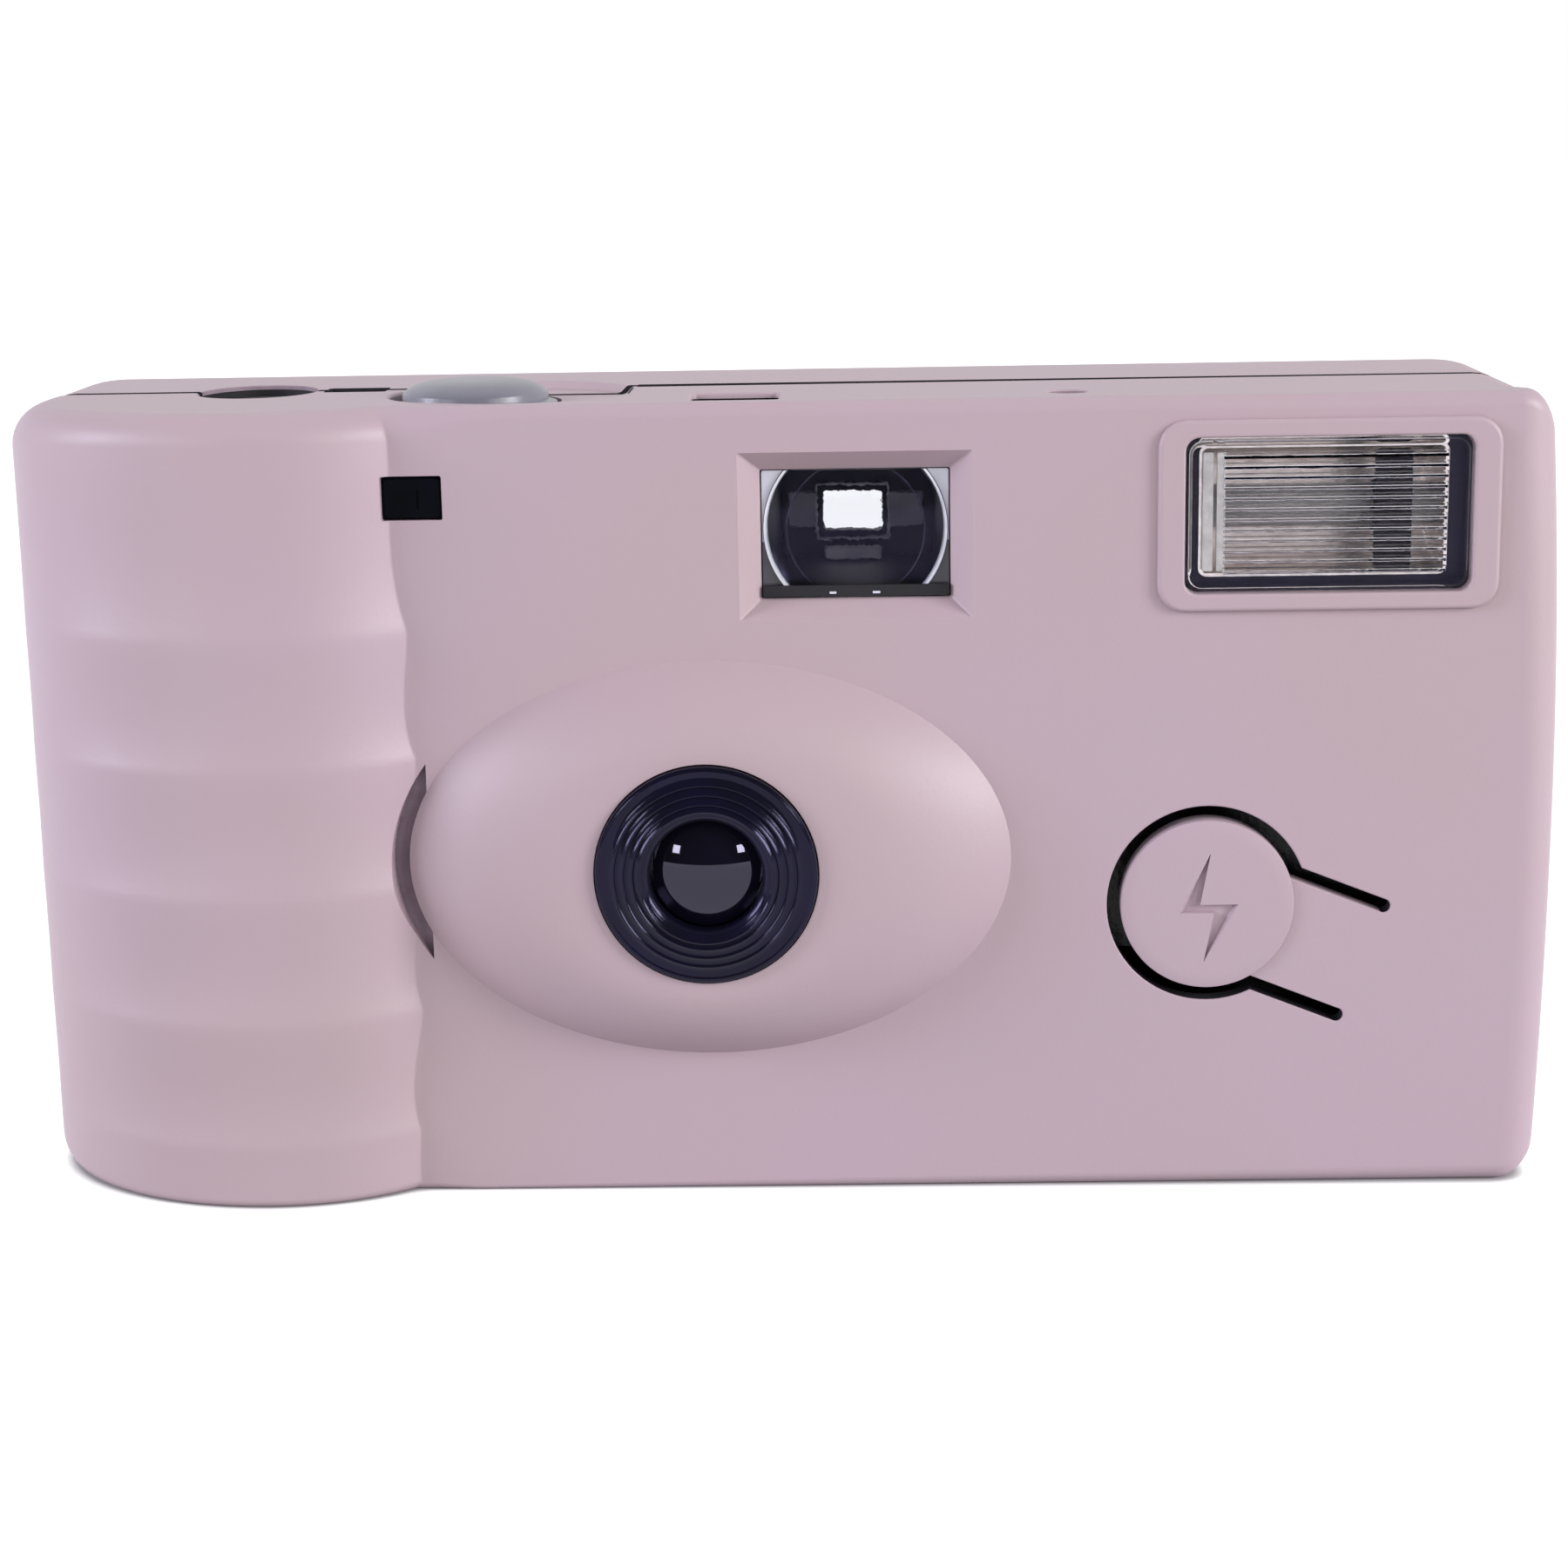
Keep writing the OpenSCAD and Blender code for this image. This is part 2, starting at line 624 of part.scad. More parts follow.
module flash_reflector() {
    y0 = wall + 0.8;
    trough = [for (a = [-90:15:90]) [7.6 * cos(a), (flash_h - 0.4) / 2 * sin(a)]];
    inner = [for (a = [-90:15:90]) [7.1 * cos(a), (flash_h - 1.4) / 2 * sin(a)]];
    color("gainsboro") placed() translate([flash_x, y0, flash_z]) difference() {
        translate([-8.6, 0, 0]) rotate([90, 0, 90]) linear_extrude(17.2) polygon(trough);
        translate([-8.2, 0, 0]) rotate([90, 0, 90]) linear_extrude(16.4) polygon(inner);
        translate([-20, 3.8, 0]) rotate([0, 90, 0]) cylinder(r = 1.7, h = 40);
    }
}

module flash_tube() {
    color("white") placed() translate([flash_x - flash_w / 2 - 2.6, wall + 4.6, flash_z]) rotate([0, 90, 0])
        cylinder(r = 1.6, h = flash_w + 5.2);
}

module ready_lamp() {
    color("orange") placed() translate([lamp_x, lamp_y, 0]) union() {
        translate([0, 0, top_z - 4]) cylinder(r = lamp_r - slip, h = 4 + wall - 0.3);
        translate([0, 0, top_z - 4.8]) cylinder(r = lamp_r, h = 4.8);
    }
}

module circuit_board() {
    color("darkgreen") placed() front_view(board_y, board_y + board_t) union() {
        translate([board_x, board_z]) square([38, film_top - 0.5 - board_z]);
        translate([coil_x - 0.5, film_top - 4]) square([coil_w + 1.1, above_film - 6]);
    }
}

module flash_capacitor() {
    color("#26262c") placed() translate([board_x + 6.5, board_y + board_t + cap_r + 0.2, board_z]) union() {
        cylinder(r = cap_r, h = film_top - board_z - 1);
        cylinder(r = cap_r - 1, h = film_top - board_z - 0.6);
    }
}

module flash_transformer() {
    coil_h = above_film - 7.1;
    color("khaki") placed() translate([coil_x, board_y + board_t, film_top + 0.3]) union() {
        cube([coil_w, 1, coil_h]);
        translate([0.1 * coil_w, 1, 1]) cube([0.8 * coil_w, 6.5, coil_h - 2]);
        translate([0, 7.5, 0]) cube([coil_w, 1, coil_h]);
    }
}

module trigger_coil() {
    color("#b08a3a") placed() translate([part_x, board_y + board_t, board_z + 2.5]) union() {
        translate([-1.8, 0, 0]) cube([3.6, 3.6, 1]);
        translate([0, 1.8, 0.5]) cylinder(r = 1.7, h = 7);
        translate([-1.8, 0, 7]) cube([3.6, 3.6, 1]);
    }
}

module flash_transistor() {
    color("#222226") placed() translate([part_x, board_y + board_t, board_z + 14.5]) intersection() {
        translate([0, 1.2, 0]) cylinder(r = 2.3, h = 4.6);
        translate([-3, 0, 0]) cube([6, 3.6, 4.6]);
    }
}

// Leaf on the board under the charge button's nub
module charge_leaf() {
    color("goldenrod") placed() union() {
        front_view(board_y - 1.4, board_y - 1.1) translate([charge_x, charge_z]) rotate(charge_tilt)
            translate([-2, -1.6]) square([16, 3.2]);
        front_view(board_y - 1.2, board_y) translate([charge_x, charge_z]) rotate(charge_tilt)
            translate([11.5, -1.6]) square([2.5, 3.2]);
    }
}

module battery() {
    color("#3a5f8a") placed() translate([cell_x, cell_y, cell_z]) rotate([0, 90, 0]) union() {
        cylinder(r = cell_r, h = cell_l - 1.2);
        cylinder(r = 2.7, h = cell_l);
    }
}

module battery_contact_plus() {
    color("silver") placed() translate([cell_x + cell_l, cell_y - 4, wall]) cube([0.5, 8, cell_z + 3]);
}

module battery_contact_minus() {
    color("silver") placed() translate([cell_x, cell_y, cell_z]) union() {
        translate([-1.3, -4, wall - cell_z]) cube([0.5, 8, cell_z + 3]);
        rotate([0, -90, 0]) cylinder(r = 3, h = 1);
    }
}

// Tin shell with end caps and the lipped slit that the film leaves through
module film_cartridge() {
    color("#d8c060") placed() difference() {
        union() {
            translate([axis_x, axis_y, cart_z]) cylinder(r = cartridge_r, h = cart_h);
            translate([axis_x + 3, film_y - 0.9, film_z - 0.5]) cube([8.5, lip_t, film_w + 1]);
        }
        translate([axis_x, axis_y, cart_z + 1]) cylinder(r = cartridge_r - 0.4, h = cart_h - 2);
        translate([axis_x, axis_y, cart_z - 1]) cylinder(r = stub_r + run_fit, h = cart_h + 2);
        translate([axis_x + 2, film_y - 0.05, film_z - 0.1]) cube([12, film_t + 0.1, film_w + 0.2]);
    }
}

module cartridge_spool() {
    color("#1c1c1e") placed() translate([axis_x, axis_y, cart_z]) difference() {
        union() {
            cylinder(r = stub_r, h = cart_h + 1.2);
            translate([0, 0, 1.2]) cylinder(r = cartridge_r - 1, h = 1);
            translate([0, 0, 1.2]) cylinder(r = spool_r, h = cart_h - 2.4);
            translate([0, 0, cart_h - 2.2]) cylinder(r = cartridge_r - 1, h = 1);
        }
        translate([-4, -0.7, cart_h - 2]) cube([8, 1.4, 4]);
    }
}

// Toothed rim, hub in the top hole and the key that turns the spool
module wind_wheel() {
    color("#1a1a1c") placed() translate([axis_x, axis_y, wheel_z]) difference() {
        union() {
            linear_extrude(wheel_t) polygon([for (i = [0:2 * wheel_n - 1])
                let (a = i * 180 / wheel_n + 45 / wheel_n * (i % 2 == 0 ? 1 : -1), r = wheel_r - (floor(i / 2) % 2) * 0.7)
                [r * cos(a), r * sin(a)]]);
            cylinder(r = hub_r, h = top_z + wall - 0.8 - wheel_z);
            translate([-2.6, -0.6, -2.5]) cube([5.2, 1.2, 3]);
        }
        translate([0, 0, wheel_t - 2]) cylinder(r = hub_r - 1, h = 20);
        translate([0, 0, wheel_t - 1.4]) tube(wheel_r - 2, hub_r + 1.5, 5);
    }
}

module film_strip() {
    color("#5a4034") placed() translate([axis_x + 5, film_y, film_z]) cube([roll_x - axis_x - 5, film_t, film_w]);
}

module supply_roll() {
    color("#4a342c") placed() translate([roll_x, roll_y, film_z]) tube(roll_r - 0.1, 3 + run_fit, film_w);
}

module supply_spool() {
    color("#1c1c1e") placed() translate([roll_x, roll_y, 0]) union() {
        translate([0, 0, film_z - 1.6]) cylinder(r = 1.5, h = film_w + 2.7);
        translate([0, 0, film_z - 0.3]) cylinder(r = 3, h = film_w + 0.6);
    }
}

// Sprocket on its shaft, with the finger that steps the counter
module sprocket() {
    teeth = 8;
    finger = sqrt(pow(dial_x - sprocket_x, 2) + pow(dial_y - sprocket_y, 2)) - dial_r - clear;
    color("#202022") placed() translate([sprocket_x, sprocket_y, 0]) union() {
        translate([0, 0, sprocket_z]) cylinder(r = sprocket_r - 1, h = 2);
        for (i = [0:teeth - 1]) rotate(i * 360 / teeth)
            translate([0, 0, sprocket_z + 0.4]) linear_extrude(1.2)
                polygon([[sprocket_r - 1.6, -0.9], [sprocket_r, -0.4], [sprocket_r, 0.4], [sprocket_r - 1.6, 0.9]]);
        translate([0, 0, sprocket_z]) cylinder(r = 1.2, h = dial_z + dial_t - sprocket_z);
        translate([0, 0, dial_z]) cylinder(r = 2.4, h = dial_t);
        translate([0, -0.6, dial_z]) cube([finger, 1.2, dial_t]);
    }
}

module counter_dial() {
    color("white") placed() translate([dial_x, dial_y, dial_z]) difference() {
        linear_extrude(dial_t) polygon([for (i = [0:79]) let (r = dial_r - (i % 2) * 0.5) [r * cos(i * 4.5), r * sin(i * 4.5)]]);
        translate([0, 0, -1]) cylinder(r = 1.2 + run_fit, h = 3);
    }
}

module shutter_button() {
    ball = 13.5;
    crown = 1.2;
    tip = lever_z + 1 + 0.15;
    color("#8e9098") placed() translate([button_x, button_y, 0]) union() {
        translate([0, 0, top_z]) cylinder(r = button_r, h = wall + 0.1);
        intersection() {
            translate([0, 0, top_z]) cylinder(r = button_r, h = wall + crown);
            translate([0, 0, body_h + crown - ball]) sphere(ball, $fn = 96);
        }
        // ledges that stop it under the top wall
        translate([-2, -button_r - 1, top_z - 1]) cube([4, button_r, 1]);
        translate([-button_r - 1, -2, top_z - 1]) cube([button_r, 4, 1]);
        translate([0, 0, top_z - 1]) cylinder(r = 3.4, h = 1.5);
        translate([0, 0, lever_z + 2.4]) cylinder(r = stem_r, h = top_z - lever_z - 2.4);
        translate([0, 0, tip]) cylinder(r = 1, h = 4);
    }
}

module button_spring() {
    color("silver") placed() translate([button_x, button_y, bush_top]) tube(2.9, 2.4, top_z - 1 - bush_top);
}

module release_lever() {
    color("#c8c8cc") placed() difference() {
        union() {
            translate([button_x - 1, lever_y - 1.4, lever_z - 0.5]) cube([lever_x - button_x + 1, 2.8, 1.5]);
            bore_y(lever_x, lever_z, 1.8, lever_y - 1.4, lever_y + 1.4);
        }
        bore_y(lever_x, lever_z, lever_pin + run_fit, 0, 30);
    }
}

front_cover();
back_cover();
flash_button();
grip_window();
main_frame();
lens_ring();
taking_lens();
shutter_plate();
shutter_blade();
shutter_spring();
sync_contact();
finder_front_lens();
finder_tube();
finder_eyepiece();
flash_window();
flash_holder();
flash_reflector();
flash_tube();
ready_lamp();
circuit_board();
flash_capacitor();
flash_transformer();
trigger_coil();
flash_transistor();
charge_leaf();
battery();
battery_contact_plus();
battery_contact_minus();
film_cartridge();
cartridge_spool();
wind_wheel();
film_strip();
supply_roll();
supply_spool();
sprocket();
counter_dial();
shutter_button();
button_spring();
release_lever();
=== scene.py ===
"""Looks of a lilac single-use film camera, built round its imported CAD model.

Shapes are drawn in millimetres with y = 0 on the flat front panel, x to the viewer's right
and z up from the table. new_piece() turns them into metres in the CAD frame.
"""

import math
from contextlib import contextmanager

import bmesh
import bpy
from mathutils import Matrix, Vector


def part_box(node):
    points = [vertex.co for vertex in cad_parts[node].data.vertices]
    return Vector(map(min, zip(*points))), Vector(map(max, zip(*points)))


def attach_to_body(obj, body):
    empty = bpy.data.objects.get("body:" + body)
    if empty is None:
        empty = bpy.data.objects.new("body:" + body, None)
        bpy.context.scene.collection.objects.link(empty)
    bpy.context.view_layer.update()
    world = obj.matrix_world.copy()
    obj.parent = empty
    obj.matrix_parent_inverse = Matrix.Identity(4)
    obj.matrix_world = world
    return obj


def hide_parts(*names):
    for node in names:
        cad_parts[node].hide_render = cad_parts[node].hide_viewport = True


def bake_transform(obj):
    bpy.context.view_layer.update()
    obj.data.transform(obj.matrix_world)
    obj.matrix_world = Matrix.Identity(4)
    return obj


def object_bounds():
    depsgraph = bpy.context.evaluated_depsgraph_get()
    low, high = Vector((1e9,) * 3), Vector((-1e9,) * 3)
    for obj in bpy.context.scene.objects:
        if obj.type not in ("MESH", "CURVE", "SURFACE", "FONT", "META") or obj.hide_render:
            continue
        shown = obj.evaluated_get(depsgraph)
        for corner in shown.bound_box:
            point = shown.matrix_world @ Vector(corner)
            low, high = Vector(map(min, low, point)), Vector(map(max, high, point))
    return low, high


bl_info = {
    "name": "Single-use film camera",
    "version": (1, 0, 0),
    "blender": (4, 5, 0),
    "location": "3D View > Sidebar > Film camera",
    "description": "Builds the shells, lens, finder, flash and controls of a single-use film camera",
    "category": "Object",
}

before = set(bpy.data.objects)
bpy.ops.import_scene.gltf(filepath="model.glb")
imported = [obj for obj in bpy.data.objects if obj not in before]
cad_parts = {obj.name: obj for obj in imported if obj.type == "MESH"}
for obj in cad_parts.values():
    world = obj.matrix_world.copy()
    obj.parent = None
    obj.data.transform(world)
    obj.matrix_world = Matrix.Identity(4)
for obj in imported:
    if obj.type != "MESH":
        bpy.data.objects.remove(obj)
CAD_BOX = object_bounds()

# Fixed places and sizes, in panel millimetres
RING_REACH = 5.6              # lens ring's nose in front of the panel
PANEL_Y = CAD_BOX[0].y * 1000 + RING_REACH        # the panel's place in the CAD frame
WIDTH = (CAD_BOX[1].x - CAD_BOX[0].x) * 1000
SEAM_Y = 14.5                 # seam between the shells
BACK_Y = CAD_BOX[1].y * 1000 - PANEL_Y
WALL = 1.6                    # wall of the shells
AXIS = (-39.0, 14.5)          # winding axis, x and y
HUB = (AXIS[0] - 0.9, AXIS[1])                    # hole over the winding hub, x and y
HUB_SQUEEZE = 1.18            # the hub hole's depth over its width
LENS = (-5.0, 26.0)           # lens axis, x and z
DOME = (22.5, 15.1)           # half axes of the dome at the panel
DOME_MARGIN = 1.2             # groove round the dome
CRESCENT_X = -26.0            # right end of the deep crescent beside the dome
FINDER = (6.2, 50.2)          # finder window, x and z
FINDER_SIZE = (13.9, 9.5)
EYE = (6.2, 48.775)           # eyepiece, x and z
FLASH = (40.5, 51.3)          # flash window, x and z
FLASH_TUBE_Y = 6.2
PANE = (-26.15, 53.4)         # dark pane beside the grip, x and z
CHARGE = (32.1, 22.2)         # charge pad, x and z
CHARGE_TILT = math.radians(-21.6)                 # way of the charge button's neck
NECK_WIDTH = 9.06             # charge button's neck with its two half slots
NECK_END = 12.3               # end of the slots, from the pad's centre
BUTTON = (-22.4, 9.5)         # shutter button, x and y
LAMP = (21.9, 4.9)            # ready lamp, x and y
COUNTER = (-2.6, 4.9)         # counter window, x and y
NOTCH = (-32.2, SEAM_Y)       # notch in the seam, x and y
NOTCH_SIZE = (4.8, 3.2)
WIDE_SEAM = (-10.5, 48.0)     # stretch of the seam that opens wider, x
LATCHES = ((24.6, 29.4), (17.9, 20.2))            # side latches, z from and to
LATCH_Y = SEAM_Y - 0.4
CUT_REACH = 12                # how far cutters stand out of the surface
THROUGH = (0, 6)              # depths of cutters that pass through the finder's front


# Sizes and colours a user would change

def length(name, description, default):
    """A length that a user can set, in metres."""
    return bpy.props.FloatProperty(name=name, description=description, default=default, unit="LENGTH")


def hex_colour(name, description, default):
    """A colour that a user can set."""
    return bpy.props.StringProperty(name=name, description=description, default=default)


class CoverSizes(bpy.types.PropertyGroup):
    """Sizes of the two shells"""
    height: length("Height", "Height of the shells", 0.060)
    grip_radius: length("Grip radius", "Radius of the bulge round the film cartridge", 0.019)
    grip_barrel: length("Grip barrel", "How much the grip narrows at its ends", 0.0008)
    ridge_pitch: length("Ridge pitch", "Spacing of the finger ridges", 0.0097)
    ridge_start: length("Lowest ridge", "Height of the lowest finger ridge", 0.0049)
    ridge_depth: length("Hollow depth", "Depth of the finger hollows", 0.00038)
    groove: length("Seam groove", "Width of the dark gap between the shells", 0.0011)
    rim: length("Opening rim", "Rounding of the edges of small openings", 0.0002)


class FittingSizes(bpy.types.PropertyGroup):
    """Sizes of lens, windows and controls"""
    ring_radius: length("Lens ring radius", "Radius of the black ring", 0.0082)
    ring_hole: length("Lens opening", "Radius of the hole in the ring", 0.00415)
    button_radius: length("Shutter button radius", "Radius of the shutter button", 0.0062)
    button_crown: length("Shutter button crown", "Height of the crown above the top", 0.0012)
    charge_radius: length("Charge pad radius", "Radius of the round flash button", 0.00645)
    slot_width: length("Charge slot", "Width of the slot round the flash button", 0.00102)
    ribs: bpy.props.IntProperty(
        name="Flash ribs", description="Number of ribs on the flash window", default=12, min=4, max=24)


class CoverColours(bpy.types.PropertyGroup):
    """Colours of the finishes, as sRGB hex values"""
    lilac: hex_colour("Lilac", "Main colour of the shells", "#B19CA3")
    lilac_violet: hex_colour("Violet lilac", "Second, more violet colour of the shells", "#B29DA9")
    ring_black: hex_colour("Ring black", "Blue-black of the lens ring", "#100F1A")
    button_grey: hex_colour("Button grey", "Grey of the shutter button", "#74737E")


def sizes():
    """The settings: shell sizes, fitting sizes and colours."""
    scene = bpy.context.scene
    return scene.cover_sizes, scene.fitting_sizes, scene.cover_colours


def mm(length):
    """Millimetres from metres."""
    return length * 1000


def top_z():
    """Height of the shells' top."""
    return mm(sizes()[0].height)


# Drawing helpers, all in millimetres

def metres(x, y, z):
    """A place in panel millimetres as metres in the CAD frame."""
    return x / 1000, (y + PANEL_Y) / 1000, z / 1000


def place_object(name, data):
    """New object of some data, linked to the scene."""
    thing = bpy.data.objects.new(name, data)
    bpy.context.scene.collection.objects.link(thing)
    return thing


@contextmanager
def editing(mesh):
    """A mesh open for edits, written back at the end of the block."""
    bm = bmesh.new()
    bm.from_mesh(mesh)
    yield bm
    bm.to_mesh(mesh)
    bm.free()


def new_piece(name, points, faces):
    """Mesh object from points in panel millimetres."""
    mesh = bpy.data.meshes.new(name)
    mesh.from_pydata([metres(*point) for point in points], [], faces)
    with editing(mesh) as bm:
        bmesh.ops.remove_doubles(bm, verts=bm.verts, dist=1e-7)
        bmesh.ops.recalc_face_normals(bm, faces=bm.faces)
    return place_object(name, mesh)


def disc(cx, cy, r, n=64, squeeze=1.0):
    """Points of a circle, or of an ellipse with its second axis squeezed."""
    return [(cx + r * math.cos(2 * math.pi * i / n), cy + squeeze * r * math.sin(2 * math.pi * i / n))
            for i in range(n)]


def round_rect(cx, cy, w, h, r, n=6):
    """Points of a rectangle with round corners."""
    points = []
    for sx, sy, start in ((1, 1, 0), (-1, 1, 90), (-1, -1, 180), (1, -1, 270)):
        for k in range(n + 1):
            a = math.radians(start + 90 * k / n)
            points.append((cx + sx * (w / 2 - r) + r * math.cos(a), cy + sy * (h / 2 - r) + r * math.sin(a)))
    return points


def upright(outline, y):
    """A front-view outline (x, z) at depth y."""
    return [(x, y, z) for x, z in outline]


def level(outline, z):
    """A plan outline (x, y) at height z."""
    return [(x, y, z) for x, y in outline]


def loft(name, loops):
    """Closed solid through loops with the same number of points."""
    n = len(loops[0])
    points = [p for loop in loops for p in loop]
    faces = [tuple(range(n)), tuple(range((len(loops) - 1) * n, len(loops) * n))]
    for k in range(len(loops) - 1):
        for i in range(n):
            j = (i + 1) % n
            faces.append((k * n + i, k * n + j, (k + 1) * n + j, (k + 1) * n + i))
    return new_piece(name, points, faces)


def slab(name, outline, start, end, lay=upright):
    """Flat solid of one outline between two depths, or two heights when lay is level."""
    return loft(name, [lay(outline, start), lay(outline, end)])


def turned(name, profile, cx, cy, axis, n=96):
    """Solid of revolution from (radius, place on the axis); axis is "y" at (x, z) or "z" at (x, y)."""
    lay = upright if axis == "y" else level
    return loft(name, [lay(disc(cx, cy, max(r, 1e-4), n), t) for r, t in profile])


def across(name, profile, cx, cy, cz, n=48):
    """Solid of revolution about a line along the width: profile is (radius, place along it)."""
    turns = [2 * math.pi * i / n for i in range(n)]
    return loft(name, [[(cx + t, cy + max(r, 1e-4) * math.cos(a), cz + max(r, 1e-4) * math.sin(a))
                        for a in turns] for r, t in profile])


def coil(name, centre, low, high, radius, wire, turns):
    """Round wire wound about a vertical line, its ends lying on the levels low and high."""
    loops = []
    for k in range(int(turns * 28) + 1):
        a = 2 * math.pi * k / 28
        rise = low + wire + (high - low - 2 * wire) * k / int(turns * 28)
        loops.append([(centre[0] + (radius + wire * math.cos(b)) * math.cos(a),
                       centre[1] + (radius + wire * math.cos(b)) * math.sin(a), rise + wire * math.sin(b))
                      for b in [2 * math.pi * i / 8 for i in range(8)]])
    return loft(name, loops)


def rim_steps(rim, steps=4):
    """(growth, depth) pairs of a rounded edge that runs into an opening."""
    return [(rim * (1 - math.sin(math.pi / 2 * k / steps)), rim * (1 - math.cos(math.pi / 2 * k / steps)))
            for k in range(steps + 1)]


def opening(name, shape, front, back, rim, lay=upright):
    """Cutter for a hole with a rounded edge at front; shape(growth) gives its outline."""
    way = 1 if back > front else -1
    loops = [lay(shape(rim), front - way * CUT_REACH)]
    loops += [lay(shape(g), front + way * d) for g, d in rim_steps(rim)]
    loops.append(lay(shape(0), back))
    return loft(name, loops)


def apply_modifiers(piece):
    """Puts the result of a piece's modifiers in place of its mesh."""
    depsgraph = bpy.context.evaluated_depsgraph_get()
    mesh = bpy.data.meshes.new_from_object(piece.evaluated_get(depsgraph))
    piece.modifiers.clear()
    piece.data = mesh


def combine(piece, other, how="DIFFERENCE"):
    """Cuts other out of piece, joins it or keeps what both share, and removes other."""
    step = piece.modifiers.new(how, "BOOLEAN")
    step.operation = how
    step.solver = "EXACT"
    step.object = other
    apply_modifiers(piece)
    if len(piece.data.polygons) < 4:
        raise RuntimeError(f"{piece.name}: nothing is left after {other.name}")
    bpy.data.objects.remove(other)


def close_tube(piece):
    """Turns the two end caps of a turned ring into the joint between its first and last loops."""
    with editing(piece.data) as bm:
        caps = [f for f in bm.faces if len(f.verts) > 8]
        bmesh.ops.delete(bm, geom=caps, context="FACES_ONLY")
        bmesh.ops.bridge_loops(bm, edges=[e for e in bm.edges if e.is_boundary])
        bmesh.ops.recalc_face_normals(bm, faces=bm.faces)


def open_mouth(piece, y, thickness):
    """Removes the cap at depth y and gives the remaining skin a thickness."""
    with editing(piece.data) as bm:
        cap = min(bm.faces, key=lambda f: abs(f.calc_center_median().y * 1000 - PANEL_Y - y)
                  + (len(f.verts) < 8) * 100)
        bmesh.ops.delete(bm, geom=[cap], context="FACES_ONLY")
        bmesh.ops.reverse_faces(bm, faces=bm.faces)
    step = piece.modifiers.new("Foil", "SOLIDIFY")
    step.thickness = thickness / 1000
    step.offset = -1
    apply_modifiers(piece)


def smooth(piece, angle=32):
    """Smooth shading with crisp edges above an angle, weighted to the large faces."""
    with editing(piece.data) as bm:
        bmesh.ops.remove_doubles(bm, verts=bm.verts, dist=2e-7)
        bmesh.ops.dissolve_degenerate(bm, edges=bm.edges, dist=2e-7)
        for face in bm.faces:
            face.smooth = True
        for edge in bm.edges:
            edge.smooth = len(edge.link_faces) == 2 and edge.calc_face_angle(3.2) < math.radians(angle)
    step = piece.modifiers.new("Even normals", "WEIGHTED_NORMAL")
    step.keep_sharp = True
    step.weight = 70
    apply_modifiers(piece)


def settle(piece, body, slot, looks, *nodes):
    """Gives a piece its finishes (keys with spaces between), body and the CAD nodes it stands for; slot is
    not used.
    """
    piece.data.materials.clear()
    for key in looks.split():
        piece.data.materials.append(finish(key))
    if body:
        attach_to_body(piece, body)
    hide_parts(*nodes)


def attach(piece, slot, look, *nodes, angle=32):
    """Smooths a piece and fixes it to the camera's body."""
    smooth(piece, angle)
    settle(piece, "camera", slot, look, *nodes)


# Finishes

def linear(code):
    """Linear colour from an sRGB hex value."""
    parts = [int(code[i:i + 2], 16) / 255 for i in (1, 3, 5)]
    return (*[c / 12.92 if c <= 0.04045 else ((c + 0.055) / 1.055) ** 2.4 for c in parts], 1.0)


def empty_tree(owner):
    """Cleared node tree of a material or world."""
    owner.use_nodes = True
    owner.node_tree.nodes.clear()
    return owner.node_tree


def add_node(tree, kind, values=None, links=None, **settings):
    """Adds one node with its settings, input values and links {input: (node, output)}."""
    node = tree.nodes.new(kind)
    for key, value in settings.items():
        setattr(node, key, value)
    for key, value in (values or {}).items():
        node.inputs[key].default_value = value
    for key, (source, output) in (links or {}).items():
        tree.links.new(source.outputs[output], node.inputs[key])
    return node


def add_ramp(tree, source, result, span=(0.0, 1.0)):
    """Node that maps a span of the source linearly to a range of results."""
    return add_node(tree, "ShaderNodeMapRange", {"From Min": span[0], "From Max": span[1],
                                                 "To Min": result[0], "To Max": result[1]}, {"Value": source})


def add_maths(tree, operation, first, second):
    """Node that works out one number from two."""
    return add_node(tree, "ShaderNodeMath", links={0: first, 1: second}, operation=operation)


METAL = {"Metallic": 1.0}
